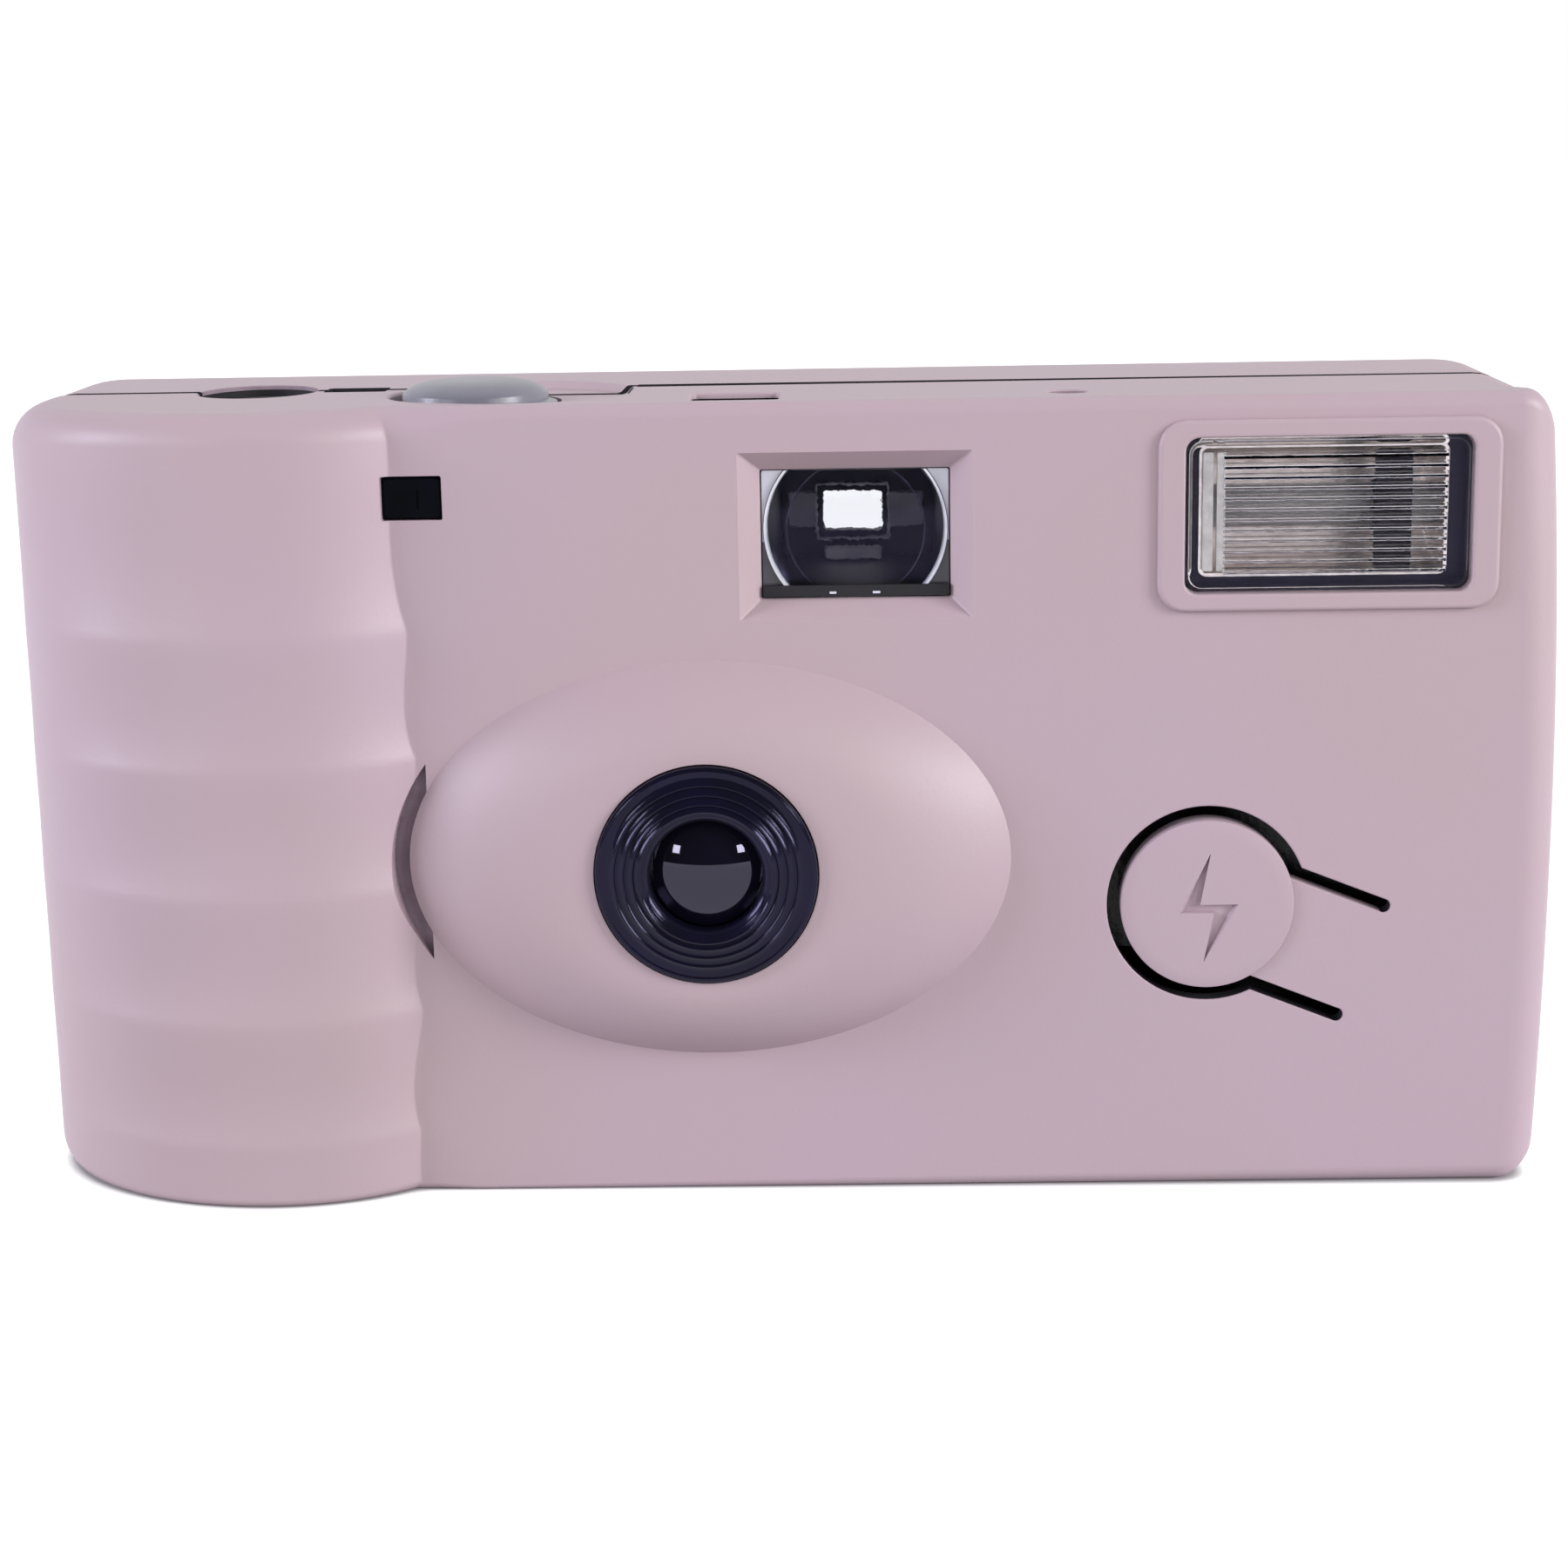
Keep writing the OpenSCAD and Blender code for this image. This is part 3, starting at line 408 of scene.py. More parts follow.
# Key: (material, two colours, patch size, roughness range, grain size, bump, shader values). Sizes are in mm.
# A colour without # is one that a user can set. "bands" gives axis and spacing of bands instead of patches.
FINISHES = {
    # Moulded ABS with a fine spark-eroded texture: soft satin light, colour drifting between pink and violet.
    # The texture's real grit of 0.05 mm is drawn at 0.35 mm so that it shows at all.
    "lilac_plastic": ("satin_abs_lilac", "lilac", "lilac_violet", 34, (0.42, 0.5), 0.35, 0.04),
    # Near-black matt finish with no gloss: painted shade on the shells' own walls deep in the seam and small
    # openings, and on the lens ring's bore and outer edge; also used on the sill under the finder lens and
    # the flash's trigger clip.
    "dark_gap": ("matt_gap_black", "#100E14", "#16131B", 5, (0.7, 0.8), 0.4, 0.05),
    # Painted shade: the same lilac, unpolished, darkened and greyed, on the floor of the deep groove beside
    # the dome, in the ready lamp's opening and on the hub hole's upper wall.
    "dusty_groove": ("dusty_lilac_abs", "#94828F", "#85737F", 1.5, (0.6, 0.7), 0.3, 0.15),
    # Matt moulded polystyrene of the chassis: dull black with grey highlights.
    "black_plastic": ("matt_polystyrene_black", "#131316", "#1B1B1F", 8, (0.5, 0.62), 0.4, 0.1),
    # Polished ABS of the lens ring: blue-black, with sharp thin highlights on each ridge.
    "gloss_black_plastic": ("polished_abs_black", "ring_black", "#121024", 6, (0.12, 0.2), 0.5, 0.02,
                            {"Specular IOR Level": 0.27, "Specular Tint": linear("#C9C4F2")}),
    # Satin ABS of the shutter button, slightly blue.
    "grey_plastic": ("satin_abs_grey", "button_grey", "#7C7B86", 6, (0.3, 0.38), 0.3, 0.04),
    # Moulded clear polystyrene of the eyepiece, with slight flow marks.
    "clear_plastic": ("clear_polystyrene", "#F4F6F6", "#EEF1F2", 10, (0.02, 0.05), 1.2, 0.02,
                      {"Transmission Weight": 1.0, "IOR": 1.49}),
    # Clear polystyrene pane with a soft anti-glare skin, so that what lies behind it shows dark.
    "window_plastic": ("clear_window_polystyrene", "#F2F1F4", "#ECEBF0", 10, (0.0, 0.03), 1.2, 0.01,
                       {"Transmission Weight": 1.0, "IOR": 1.45, "Specular Tint": linear("#6F6A8C")}),
    # Clear polystyrene of the ribbed flash pane, whose skin hardly mirrors the room.
    "rib_plastic": ("clear_ribbed_polystyrene", "#F2F1F4", "#ECEBF0", 10, (0.0, 0.03), 1.2, 0.01,
                    {"Transmission Weight": 1.0, "IOR": 1.45, "Specular Tint": linear("#3A3748")}),
    # Polished acrylic of the taking lens over the unlit shutter chamber: near black, with sharp reflections.
    "lens_acrylic": ("polished_acrylic_lens", "#0B0A14", "#0E0D19", 6, (0.02, 0.05), 2.0, 0.0,
                     {"IOR": 1.62, "Specular Tint": linear("#D9D4F2")}),
    # Painted highlight: pale satin near-white on the finder lens's edge, the two sill glints, the stripe
    # below the eyepiece and the eyepiece's frame line.
    "painted_glint": ("clear_lens_edge", "#E6E7F0", "#CFD1DE", 2, (0.25, 0.35), 0.5, 0.05),
    # Inside of the finder tube and the flash's surround: black polystyrene with a soft sheen, slightly blue.
    "tube_black": ("satin_polystyrene_blue_black", "#14122A", "#1C1938", 4, (0.5, 0.6), 0.4, 0.06),
    # Flats at the far end of the finder tube: lighter grey polystyrene as painted light, for the tube's lit
    # inner walls beside the eyepiece.
    "tube_painted_light": ("polished_polystyrene_grey", "#A8A4B8", "#B8B4C6", 3, (0.25, 0.35), 0.4, 0.04),
    # Upper flat corners of the finder window: the plate in pale grey, as painted light.
    "mask_painted_light": ("pale_ledge_grey", "#DCDDE6", "#C4C4D2", 6, (0.2, 0.3), 0.5, 0.04),
    # Lower corners of the finder window: the same plate in dark grey, as painted shade.
    "mask_painted_shade": ("dark_ledge_grey", "#4A4852", "#3A3842", 3, (0.2, 0.3), 0.5, 0.04),
    # Pressed aluminium foil of the flash reflector: bright, hardly wavy metal.
    "reflector_foil": ("bright_aluminium_foil", "#F2ECE8", "#DDD6D2", 1.6, (0.2, 0.3), 0.9, 0.06, METAL),
    # Folded edge of the foil, seen flat on: pale satin aluminium.
    "foil_fold": ("satin_aluminium_fold", "#E6E4DE", "#D2D0CA", 0.8, (0.3, 0.4), 0.8, 0.15),
    # Drawn glass of the flash tube with a faint grey film inside.
    "tube_glass": ("drawn_glass_grey", "#C9C9C6", "#BDBDBB", 3, (0.05, 0.1), 1.0, 0.03,
                   {"Transmission Weight": 0.7, "IOR": 1.47}),
    # Nearly black moulded acrylic with weak reflections.
    "smoke_pane": ("black_acrylic_pane", "#05060C", "#080912", 2, (0.12, 0.2), 0.6, 0.02,
                   {"Specular IOR Level": 0.03}),
    # Moulded amber acrylic of the ready lamp.
    "amber_lamp": ("amber_acrylic", "#D98E3C", "#E0A050", 1, (0.15, 0.25), 0.3, 0.03,
                   {"Transmission Weight": 0.4, "IOR": 1.49}),
    # Satin white polystyrene of the counter dial.
    "white_plastic": ("satin_polystyrene_white", "#E9E7E4", "#E2E0DC", 4, (0.35, 0.45), 0.3, 0.05),
    # Pad-printed black ink of the dial's numbers, flat with soft edges.
    "dial_ink": ("pad_print_black", "#1A1A1C", "#232325", 1, (0.5, 0.6), 0.2, 0.05),
    # Cold-drawn spring steel: bright, with fine drawing lines.
    "spring_steel": ("drawn_spring_steel", "#B9BCC0", "#A6A9AE", 1.5, (0.25, 0.35), 0.3, 0.1, METAL),
    # Rolled brass strip: warm, slightly dulled metal.
    "brass_leaf": ("rolled_brass", "#C9A45C", "#B8924A", 3, (0.28, 0.4), 0.4, 0.1, METAL),
    # Glass-resin board in near black, as painted shade for the dark inside seen through the charge slot, with
    # lighter patches.
    "circuit_resin": ("dark_board_lacquer", "#171420", "#22202C", 1.4, (0.3, 0.4), 0.5, 0.15),
    # Shrunk vinyl sleeve of the capacitor: blue-black with a soft shine.
    "capacitor_sleeve": ("shrunk_vinyl_blue", "#1E2638", "#252E42", 4, (0.3, 0.4), 0.4, 0.1),
    # Yellow polyester tape wound over the transformer, in visible layers.
    "winding_tape": ("polyester_tape_yellow", "#D9C27A", "#C9B066", 3, (0.3, 0.42), 0.4, 0.1,
                     {"bands": ("Z", 0.9)}),
    # Enamelled copper wire: turns side by side, each with its own highlight.
    "copper_winding": ("enamelled_copper", "#A9622E", "#7E431C", 1, (0.25, 0.35), 0.4, 0.2,
                       {"bands": ("Z", 0.35), "Metallic": 1.0}),
    # Printed steel jacket of the cell: plain dark body with a lighter band.
    "cell_jacket": ("printed_cell_jacket", "#2C2D33", "#6F5A2E", 6, (0.25, 0.35), 0.5, 0.03,
                    {"bands": ("X", 34)}),
    # Lacquered tin of the film cartridge: plain warm grey with darker lacquer bands.
    "cartridge_tin": ("lacquered_tin", "#8E8A80", "#5E5B55", 5, (0.3, 0.4), 0.4, 0.05, {"bands": ("Z", 17)}),
    # Triacetate film base with its orange-brown mask: dark, glossy sheet.
    "film_base": ("triacetate_film", "#3A251B", "#4A3022", 6, (0.12, 0.2), 0.6, 0.03),
}


def finish(key):
    """Material from the table: two colours in patches or bands, with grain in roughness and bump."""
    name, first, second, patch, rough, grain, bump, *more = FINISHES[key]
    if name in bpy.data.materials:
        return bpy.data.materials[name]
    values = dict(*more)
    bands = values.pop("bands", None)
    material = bpy.data.materials.new(name)
    tree = empty_tree(material)
    place = {"Vector": (add_node(tree, "ShaderNodeTexCoord"), "Object")}
    if bands:
        axis, spacing = bands
        cloud = add_node(tree, "ShaderNodeTexWave", {
            "Scale": 1000 / spacing / 20 * math.pi, "Distortion": 0.4}, place, bands_direction=axis)
    else:
        cloud = add_node(tree, "ShaderNodeTexNoise", {"Scale": 1000 / patch, "Detail": 2.0}, place)
    grit = add_node(tree, "ShaderNodeTexNoise", {"Scale": 1000 / grain, "Detail": 3.0}, place)
    tint = add_node(tree, "ShaderNodeValToRGB", links={"Fac": (cloud, "Fac")})
    for stop, where, code in zip(tint.color_ramp.elements, (0.35, 0.65), (first, second)):
        stop.position = where
        stop.color = linear(code if code.startswith("#") else getattr(sizes()[2], code))
    gloss = add_ramp(tree, (grit, "Fac"), rough)
    relief = add_node(tree, "ShaderNodeBump", {"Strength": bump, "Distance": grain / 1000},
                      {"Height": (grit, "Fac")})
    shader = add_node(tree, "ShaderNodeBsdfPrincipled", values, {
        "Base Color": (tint, "Color"), "Roughness": (gloss, "Result"), "Normal": (relief, "Normal")})
    add_node(tree, "ShaderNodeOutputMaterial", links={"Surface": (shader, "BSDF")})
    return material


# Shells

# Shell finishes: lilac, then near black and darkened lilac, both painted shade.
SHELL_LOOKS = "lilac_plastic dark_gap dusty_groove"


class CAMERA_OT_front_shell(bpy.types.Operator):
    """Front shell: ridged grip, flat panel, lens dome, flash frame and every opening"""
    bl_idname = "film_camera.front_shell"
    bl_label = "Front shell"

    def execute(self, context):
        shell = wall_block("front_shell", front_outline)
        a, b = DOME[0] + DOME_MARGIN, DOME[1] + DOME_MARGIN
        lens_x, lens_z = LENS
        ring = disc(lens_x, lens_z, a, 128, b / a)
        combine(shell, slab("clear_cut", ring, -CUT_REACH, -0.02))
        rise = b * math.sqrt(1 - ((CRESCENT_X - lens_x) / a) ** 2)
        crescent = [(CRESCENT_X, lens_z + rise)] + [p for p in ring if p[0] < CRESCENT_X - 0.02]
        crescent.append((CRESCENT_X, lens_z - rise))
        combine(shell, slab("groove_cut", crescent, -CUT_REACH, 0.9))
        combine(shell, lens_dome("dome", 0, 1.2), "UNION")
        combine(shell, flash_frame(), "UNION")
        for cutters in (inner_room, front_openings, shared_openings):
            for cutter in cutters():
                combine(shell, cutter)
        attach(shell, "lilac_plastic", SHELL_LOOKS, "front_cover")
        darken_gap(shell)
        return {"FINISHED"}


class CAMERA_OT_back_shell(bpy.types.Operator):
    """Back shell: rounded box half with the thumb scoop and the eyepiece window"""
    bl_idname = "film_camera.back_shell"
    bl_label = "Back shell"

    def execute(self, context):
        shell = wall_block("back_shell", back_outline)
        top = top_z()
        room = round_rect(-0.6, top / 2, 2 * (WIDTH / 2 - WALL) - 1.2, top - 2 * WALL, 2)
        combine(shell, slab("room", room, SEAM_Y - 2, BACK_Y - WALL))
        scoop_r, scoop_depth = 16, 3.2
        scoop = [level(disc(AXIS[0], BACK_Y + scoop_r - scoop_depth, scoop_r + g, 128), z)
                 for g, z in ((0.6, 49.1), (0, 49.7), (0, 56.5), (0.6, 57.1))]
        combine(shell, loft("scoop", scoop))
        combine(shell, opening("eyepiece_cut", lambda g: round_rect(*EYE, 7 + 2 * g, 5 + 2 * g, 0.8 + g),
                               BACK_Y, BACK_Y - 5, 0.5))
        for cutter in shared_openings():
            combine(shell, cutter)
        attach(shell, "lilac_plastic", SHELL_LOOKS, "back_cover")
        darken_gap(shell)
        return {"FINISHED"}


def ease(t):
    """Smooth step from 0 to 1."""
    t = min(max(t, 0.0), 1.0)
    return t * t * (3 - 2 * t)


def grip_inset(z):
    """How far the grip lies inside its full round at a height: barrel, and hollows that end in a ridge."""
    cover = sizes()[0]
    height, pitch, start = mm(cover.height), mm(cover.ridge_pitch), mm(cover.ridge_start)
    inset = mm(cover.grip_barrel) * (2 * z / height - 1) ** 2
    tops = [start + k * pitch for k in range(5)] + [height - 2.5]
    for low, high in zip(tops, tops[1:]):
        if low <= z <= high:
            s = ((high - z) / (high - low)) ** 1.5
            inset += mm(cover.ridge_depth) * 4 * s * (1 - s)
    return inset


def right_side(z):
    """Place of the right side at a height: fullest in the middle, drawn in towards top and bottom."""
    share = 2 * z / top_z() - 1
    return WIDTH / 2 - (1.1 if share > 0 else 0.7) * share ** 2


GRIP_RIM, CREASE_RIM, PANEL_RIM, SIDE_RIM, BACK_RIM = 2.5, 2.4, 1.1, 2.9, 2.0      # rounding of the edges


def front_outline(z):
    """Plan of the front shell at a height: (x, y, normal x, normal y, rim radius) from seam to seam."""
    full, inset = mm(sizes()[0].grip_radius), grip_inset(z)
    r = full - inset
    cx, cy = AXIS
    crease = 0.35                                 # radius of the crease between grip and panel
    fx = cx + math.sqrt((r + crease) ** 2 - (cy + crease) ** 2)
    last = math.atan2(-crease - cy, fx - cx)
    points = [(cx - full, SEAM_Y, -1, 0, GRIP_RIM)]
    flat = 3.0                                    # straight part of the left side behind the round
    for k in range(60):
        t = math.pi / 2 * k / 60
        nx, ny = -math.cos(t) / full, -math.sin(t) / (full - flat)
        size = math.hypot(nx, ny)
        nx, ny = nx / size, ny / size
        shrink = inset * ease((math.degrees(t) - 4) / 52)
        points.append((cx - full * math.cos(t) - nx * shrink,
                       cy - flat - (full - flat) * math.sin(t) - ny * shrink, nx, ny, GRIP_RIM))
    for k in range(46):
        a = 1.5 * math.pi + (0.5 * math.pi + last) * k / 45
        points.append((cx + r * math.cos(a), cy + r * math.sin(a), math.cos(a), math.sin(a), GRIP_RIM))
    start, end = last + math.pi, math.pi / 2
    for k in range(1, 6):
        a = start + (end - start) * k / 5
        points.append((fx + crease * math.cos(a), -crease + crease * math.sin(a), -math.cos(a), -math.sin(a),
                       GRIP_RIM + (CREASE_RIM - GRIP_RIM) * ease(k / 5)))
    for step in (0.5, 1, 1.5, 2, 3, 4, 5, 6):
        points.append((fx + step, 0, 0, -1, CREASE_RIM + (PANEL_RIM - CREASE_RIM) * ease(step / 6)))
    corner = 3
    for k in range(13):
        a = math.radians(270 + 90 * k / 12)
        points.append((right_side(z) - corner + corner * math.cos(a), corner + corner * math.sin(a),
                       math.cos(a), math.sin(a), PANEL_RIM + (SIDE_RIM - PANEL_RIM) * ease(k / 12)))
    points.append((right_side(z), SEAM_Y, 1, 0, SIDE_RIM))
    return points


def back_outline(z):
    """Plan of the back shell at a height."""
    left, right, corner = -WIDTH / 2, right_side(z), 5
    points = [(left, SEAM_Y, -1, 0, SIDE_RIM)]
    for cx, start in ((left + corner, 180), (right - corner, 90)):
        for k in range(17):
            a = math.radians(start - 90 * k / 16)
            t = ease(k / 16) if start == 180 else ease(1 - k / 16)
            points.append((cx + corner * math.cos(a), BACK_Y - corner + corner * math.sin(a),
                           math.cos(a), math.sin(a), SIDE_RIM + (BACK_RIM - SIDE_RIM) * t))
    points.append((right, SEAM_Y, 1, 0, SIDE_RIM))
    return points


def top_rim(points):
    """The same plan with the rounding at the top: wider at the sides, tighter at the grip's front."""
    return [(x, y, nx, ny, e + (0.9 - 1.1 * ease(-ny)) * ease(e - 1.5)) for x, y, nx, ny, e in points]


def bottom_rim(points):
    """The same plan with the rounding at the bottom: tighter at the grip's front, wider under the panel."""
    return [(x, y, nx, ny, e * (1 - 0.72 * ease(-ny) * ease((-12 - x) / 12))
             + 0.45 * ease(-ny) * ease((x + 12) / 12)) for x, y, nx, ny, e in points]


def wall_block(name, outline):
    """Closed block whose wall follows outline(z), with rounded rims at top and bottom."""
    height = top_z()

    def rim_row(points, degrees, base, way):
        inward, along = 1 - math.cos(math.radians(degrees)), 1 - math.sin(math.radians(degrees))
        return [(x - nx * e * inward, y - ny * e * inward, base + way * e * along)
                for x, y, nx, ny, e in points]

    rows = [rim_row(bottom_rim(outline(2.5)), 90 - 10 * k, 0, 1) for k in range(10)]
    for k in range(136):
        z = 3 + (height - 7) * k / 135
        rows.append([(x, y, z) for x, y, nx, ny, e in outline(z)])
    rows += [rim_row(top_rim(outline(height - 3.5)), 10 * k, height, -1) for k in range(10)]
    n, m = len(rows[0]), len(rows)
    faces = [tuple(range(n)), tuple(range((m - 1) * n, m * n)),
             tuple([k * n for k in range(m)] + [k * n + n - 1 for k in reversed(range(m))])]
    for k in range(m - 1):
        for i in range(n - 1):
            faces.append((k * n + i, k * n + i + 1, (k + 1) * n + i + 1, (k + 1) * n + i))
    block = new_piece(name, [p for row in rows for p in row], faces)
    with editing(block.data) as bm:
        bmesh.ops.dissolve_limit(bm, angle_limit=math.radians(0.02), verts=bm.verts, edges=bm.edges)
    return block


def lens_dome(name, inset, base):
    """Dome from an ellipse on the panel to a circle under the lens ring."""
    (a, b), (cx, cz) = DOME, LENS
    r, rise = 8.8 - inset, 4.6
    loops = []
    for k in range(25):
        s = k / 24
        ax, bx = a - inset + (r - a + inset) * s, b - inset + (r - b + inset) * s
        loops.append(upright(disc(cx, cz, ax, 144, bx / ax), inset - rise * (1 - (1 - s) ** 2)))
    first = [(x, inset + base, z) for x, y, z in loops[0]]
    return loft(name, [first] + loops)


def flash_frame():
    """Raised frame round the flash with a soft outer edge."""
    w, h, r = 24.7, 14, 2
    loops = [upright(round_rect(*FLASH, w, h, r), 1)]
    for g, d in reversed(rim_steps(0.35, 5)):
        loops.append(upright(round_rect(*FLASH, w - 2 * g, h - 2 * g, r - g), -0.5 + d))
    return loft("flash_frame", loops)


def inner_room():
    """Solids that hollow out the front shell."""
    top, left, right = top_z() - WALL, AXIS[0], WIDTH / 2 - WALL - 1.2
    plan = [(left, WALL), (right, WALL), (right, SEAM_Y + 2), (left, SEAM_Y + 2)]
    yield slab("room", plan, WALL, top, level)
    yield slab("grip_room", disc(*AXIS, 16.0, 96), WALL, top, level)
    yield lens_dome("dome_room", WALL, 0.6)
    yield turned("ring_seat", [(7.3, 4), (7.3, -3.8), (8.3, -3.8), (8.3, -CUT_REACH)], *LENS, "y")


def charge_place(along, aside):
    """Front-view place of a point given along and across the charge button's neck."""
    c, s = math.cos(CHARGE_TILT), math.sin(CHARGE_TILT)
    return CHARGE[0] + along * c - aside * s, CHARGE[1] + along * s + aside * c


def charge_shape(grow):
    """Front outline of the charge button: round pad and straight neck, grown by grow."""
    r = mm(sizes()[1].charge_radius) + grow
    half = (NECK_WIDTH - mm(sizes()[1].slot_width)) / 2 + grow
    a0 = math.asin(half / r)
    turns = [a0 + (2 * math.pi - 2 * a0) * k / 64 for k in range(65)]
    points = [(r * math.cos(a), r * math.sin(a)) for a in turns] + [(NECK_END, -half), (NECK_END, half)]
    return [charge_place(*p) for p in points]


def front_openings():
    """Cutters for the windows, the charge button, the counter and the ready lamp."""
    cover, fitting, _ = sizes()
    rim, slot, top = mm(cover.rim), mm(fitting.slot_width), top_z()
    w, h = FINDER_SIZE
    yield loft("finder_cut", [upright(round_rect(*FINDER, w + g, h + g * 0.88, 0.15), y)
                              for g, y in ((3.9, -0.35), (3.2, 0), (0.1, 1.45), (0, 1.55), (0, 6))])
    yield opening("flash_cut", lambda g: round_rect(*FLASH, 20.8 + 2 * g, 11.4 + 2 * g, 1 + g), -0.5, 6, rim)
    yield slab("pane_cut", round_rect(*PANE, 4.45, 3.25, 0.15), -CUT_REACH, 4)
    yield opening("charge_cut", lambda g: charge_shape(slot + g), 0, 5, rim * 0.6)
    half = (NECK_WIDTH - slot) / 2 + slot / 2
    for side in (-1, 1):
        place = charge_place(NECK_END, side * half)
        yield opening("slot_end", lambda g: disc(*place, slot / 2 + g, 24), 0, 5, rim * 0.6)
    yield opening("counter_cut", lambda g: round_rect(*COUNTER, 6.5 + 2 * g, 5.4 + 2 * g, 0.4 + g),
                  top, top - 5, rim, level)
    yield slab("counter_undercut", round_rect(*COUNTER, 7.1, 6.0, 0.5), top - 0.42, top - 4.6, level)
    yield opening("lamp_cut", lambda g: disc(*LAMP, 1.5 + g, 32), top, top - 5, rim, level)


def shared_openings():
    """Cutters that cross the seam: dish, shutter button, winding hub, notches and the seam groove."""
    cover, fitting, _ = sizes()
    top, gap = top_z(), mm(cover.groove)
    dish = ((8.3, -0.6), (8.6, -0.5), (9.0, -0.05), (9.2, 0), (9.2, 3))
    yield loft("dish", [level(disc(BUTTON[0] + 3, BUTTON[1] + 1.5, r, 96), top + rise) for r, rise in dish])
    yield opening("button_cut", lambda g: disc(*BUTTON, mm(fitting.button_radius) + 0.3 + g, 64),
                  top, top - 5, 0.3, level)
    hub = [(4.75, -1), (4.75, 0), (4.6, 0.04), (4.5, 0.12), (4.5, 0.34), (4.4, 0.36), (4.4, 5)]
    yield loft("hub_cut", [level(disc(*HUB, r, 64, HUB_SQUEEZE), top - d) for r, d in hub])
    left, right = WIDE_SEAM
    wide = [(left, SEAM_Y - 0.95), (right, SEAM_Y - gap / 2),
            (right, SEAM_Y + gap / 2), (left, SEAM_Y + 0.95)]
    yield slab("seam_widening", wide, top - 0.85, top + 1, level)
    yield slab("seam_notch", round_rect(*NOTCH, *NOTCH_SIZE, 0.3), top - 1.3, top + 1, level)
    for low, high in LATCHES:
        yield slab("side_latch", round_rect(-58.0, LATCH_Y, 1.0, 2.6, 0.2), low, high, level)
    yield seam_ring(top, gap)


def seam_ring(height, gap):
    """Frame-shaped cutter for the groove between the shells."""
    outer = round_rect(0, height / 2, WIDTH + 20, height + 20, 6)
    inner = round_rect(0, height / 2, WIDTH - 1.8, height - 1.8, 6.5)
    n = len(outer)
    y0, y1 = SEAM_Y - gap / 2, SEAM_Y + gap / 2
    points = upright(outer, y0) + upright(inner, y0) + upright(outer, y1) + upright(inner, y1)
    faces = []
    for i in range(n):
        j = (i + 1) % n
        faces += [(i, j, n + j, n + i), (2 * n + i, 2 * n + j, 3 * n + j, 3 * n + i),
                  (i, j, 2 * n + j, 2 * n + i), (n + i, n + j, 3 * n + j, 3 * n + i)]
    return new_piece("seam_ring", points, faces)


def darken_gap(shell):
    """Paints shade on the shell's own faces: near black deep in the seam, notch, latches, hub hole, counter
    window and charge slot, and darkened lilac in the groove beside the dome, the lamp opening and the hub
    hole's upper wall.
    """
    height, gap = top_z(), mm(sizes()[0].groove)
    (a, b), (cx, cz) = DOME, LENS
    for face in shell.data.polygons:
        x, y, z = face.center.x * 1000, face.center.y * 1000 - PANEL_Y, face.center.z * 1000
        facing, seam, below = face.normal.y, abs(y - SEAM_Y), height - z
        depth = min(WIDTH / 2 - abs(x), below, z)
        reach = 1.0 if below < 1 and WIDE_SEAM[0] - 0.5 < x < WIDE_SEAM[1] else gap / 2 + 0.02
        groove = seam < reach and (depth > 0.2 or abs(facing) > 0.9)
        counter = abs(x - COUNTER[0]) < 3.6 and abs(y - COUNTER[1]) < 3.05 and 0.4 < below < 5
        notch = (abs(x - NOTCH[0]) < NOTCH_SIZE[0] / 2 + 0.02 and seam < NOTCH_SIZE[1] / 2 + 0.02
                 and depth > 0.25)
        latch = x < -57 and abs(y - LATCH_Y) < 1.32 and 17.8 < z < 29.5 and depth > 0.1
        hub = math.hypot(x - HUB[0], (y - HUB[1]) / HUB_SQUEEZE) < 4.58 and depth > 0.05
        charge = math.hypot(x - CHARGE[0], z - CHARGE[1]) < 14.5 and 0.2 < y < 4 and abs(facing) < 0.5
        lamp = math.hypot(x - LAMP[0], y - LAMP[1]) < 1.75 and below > 0.1 and y < 8
        crescent = (x < CRESCENT_X + 0.1 and 0.6 < y < 1.1 and facing < -0.9
                    and math.hypot((x - cx) / a, (z - cz) / b) < 1.06)
        # Material 2 is darkened lilac and material 1 is near black, both painted shade.
        painted_lilac_shade = crescent or lamp or hub and below < 0.3
        face.material_index = 2 if painted_lilac_shade else 1 if groove or notch or latch or hub or counter or charge else 0


# Fittings

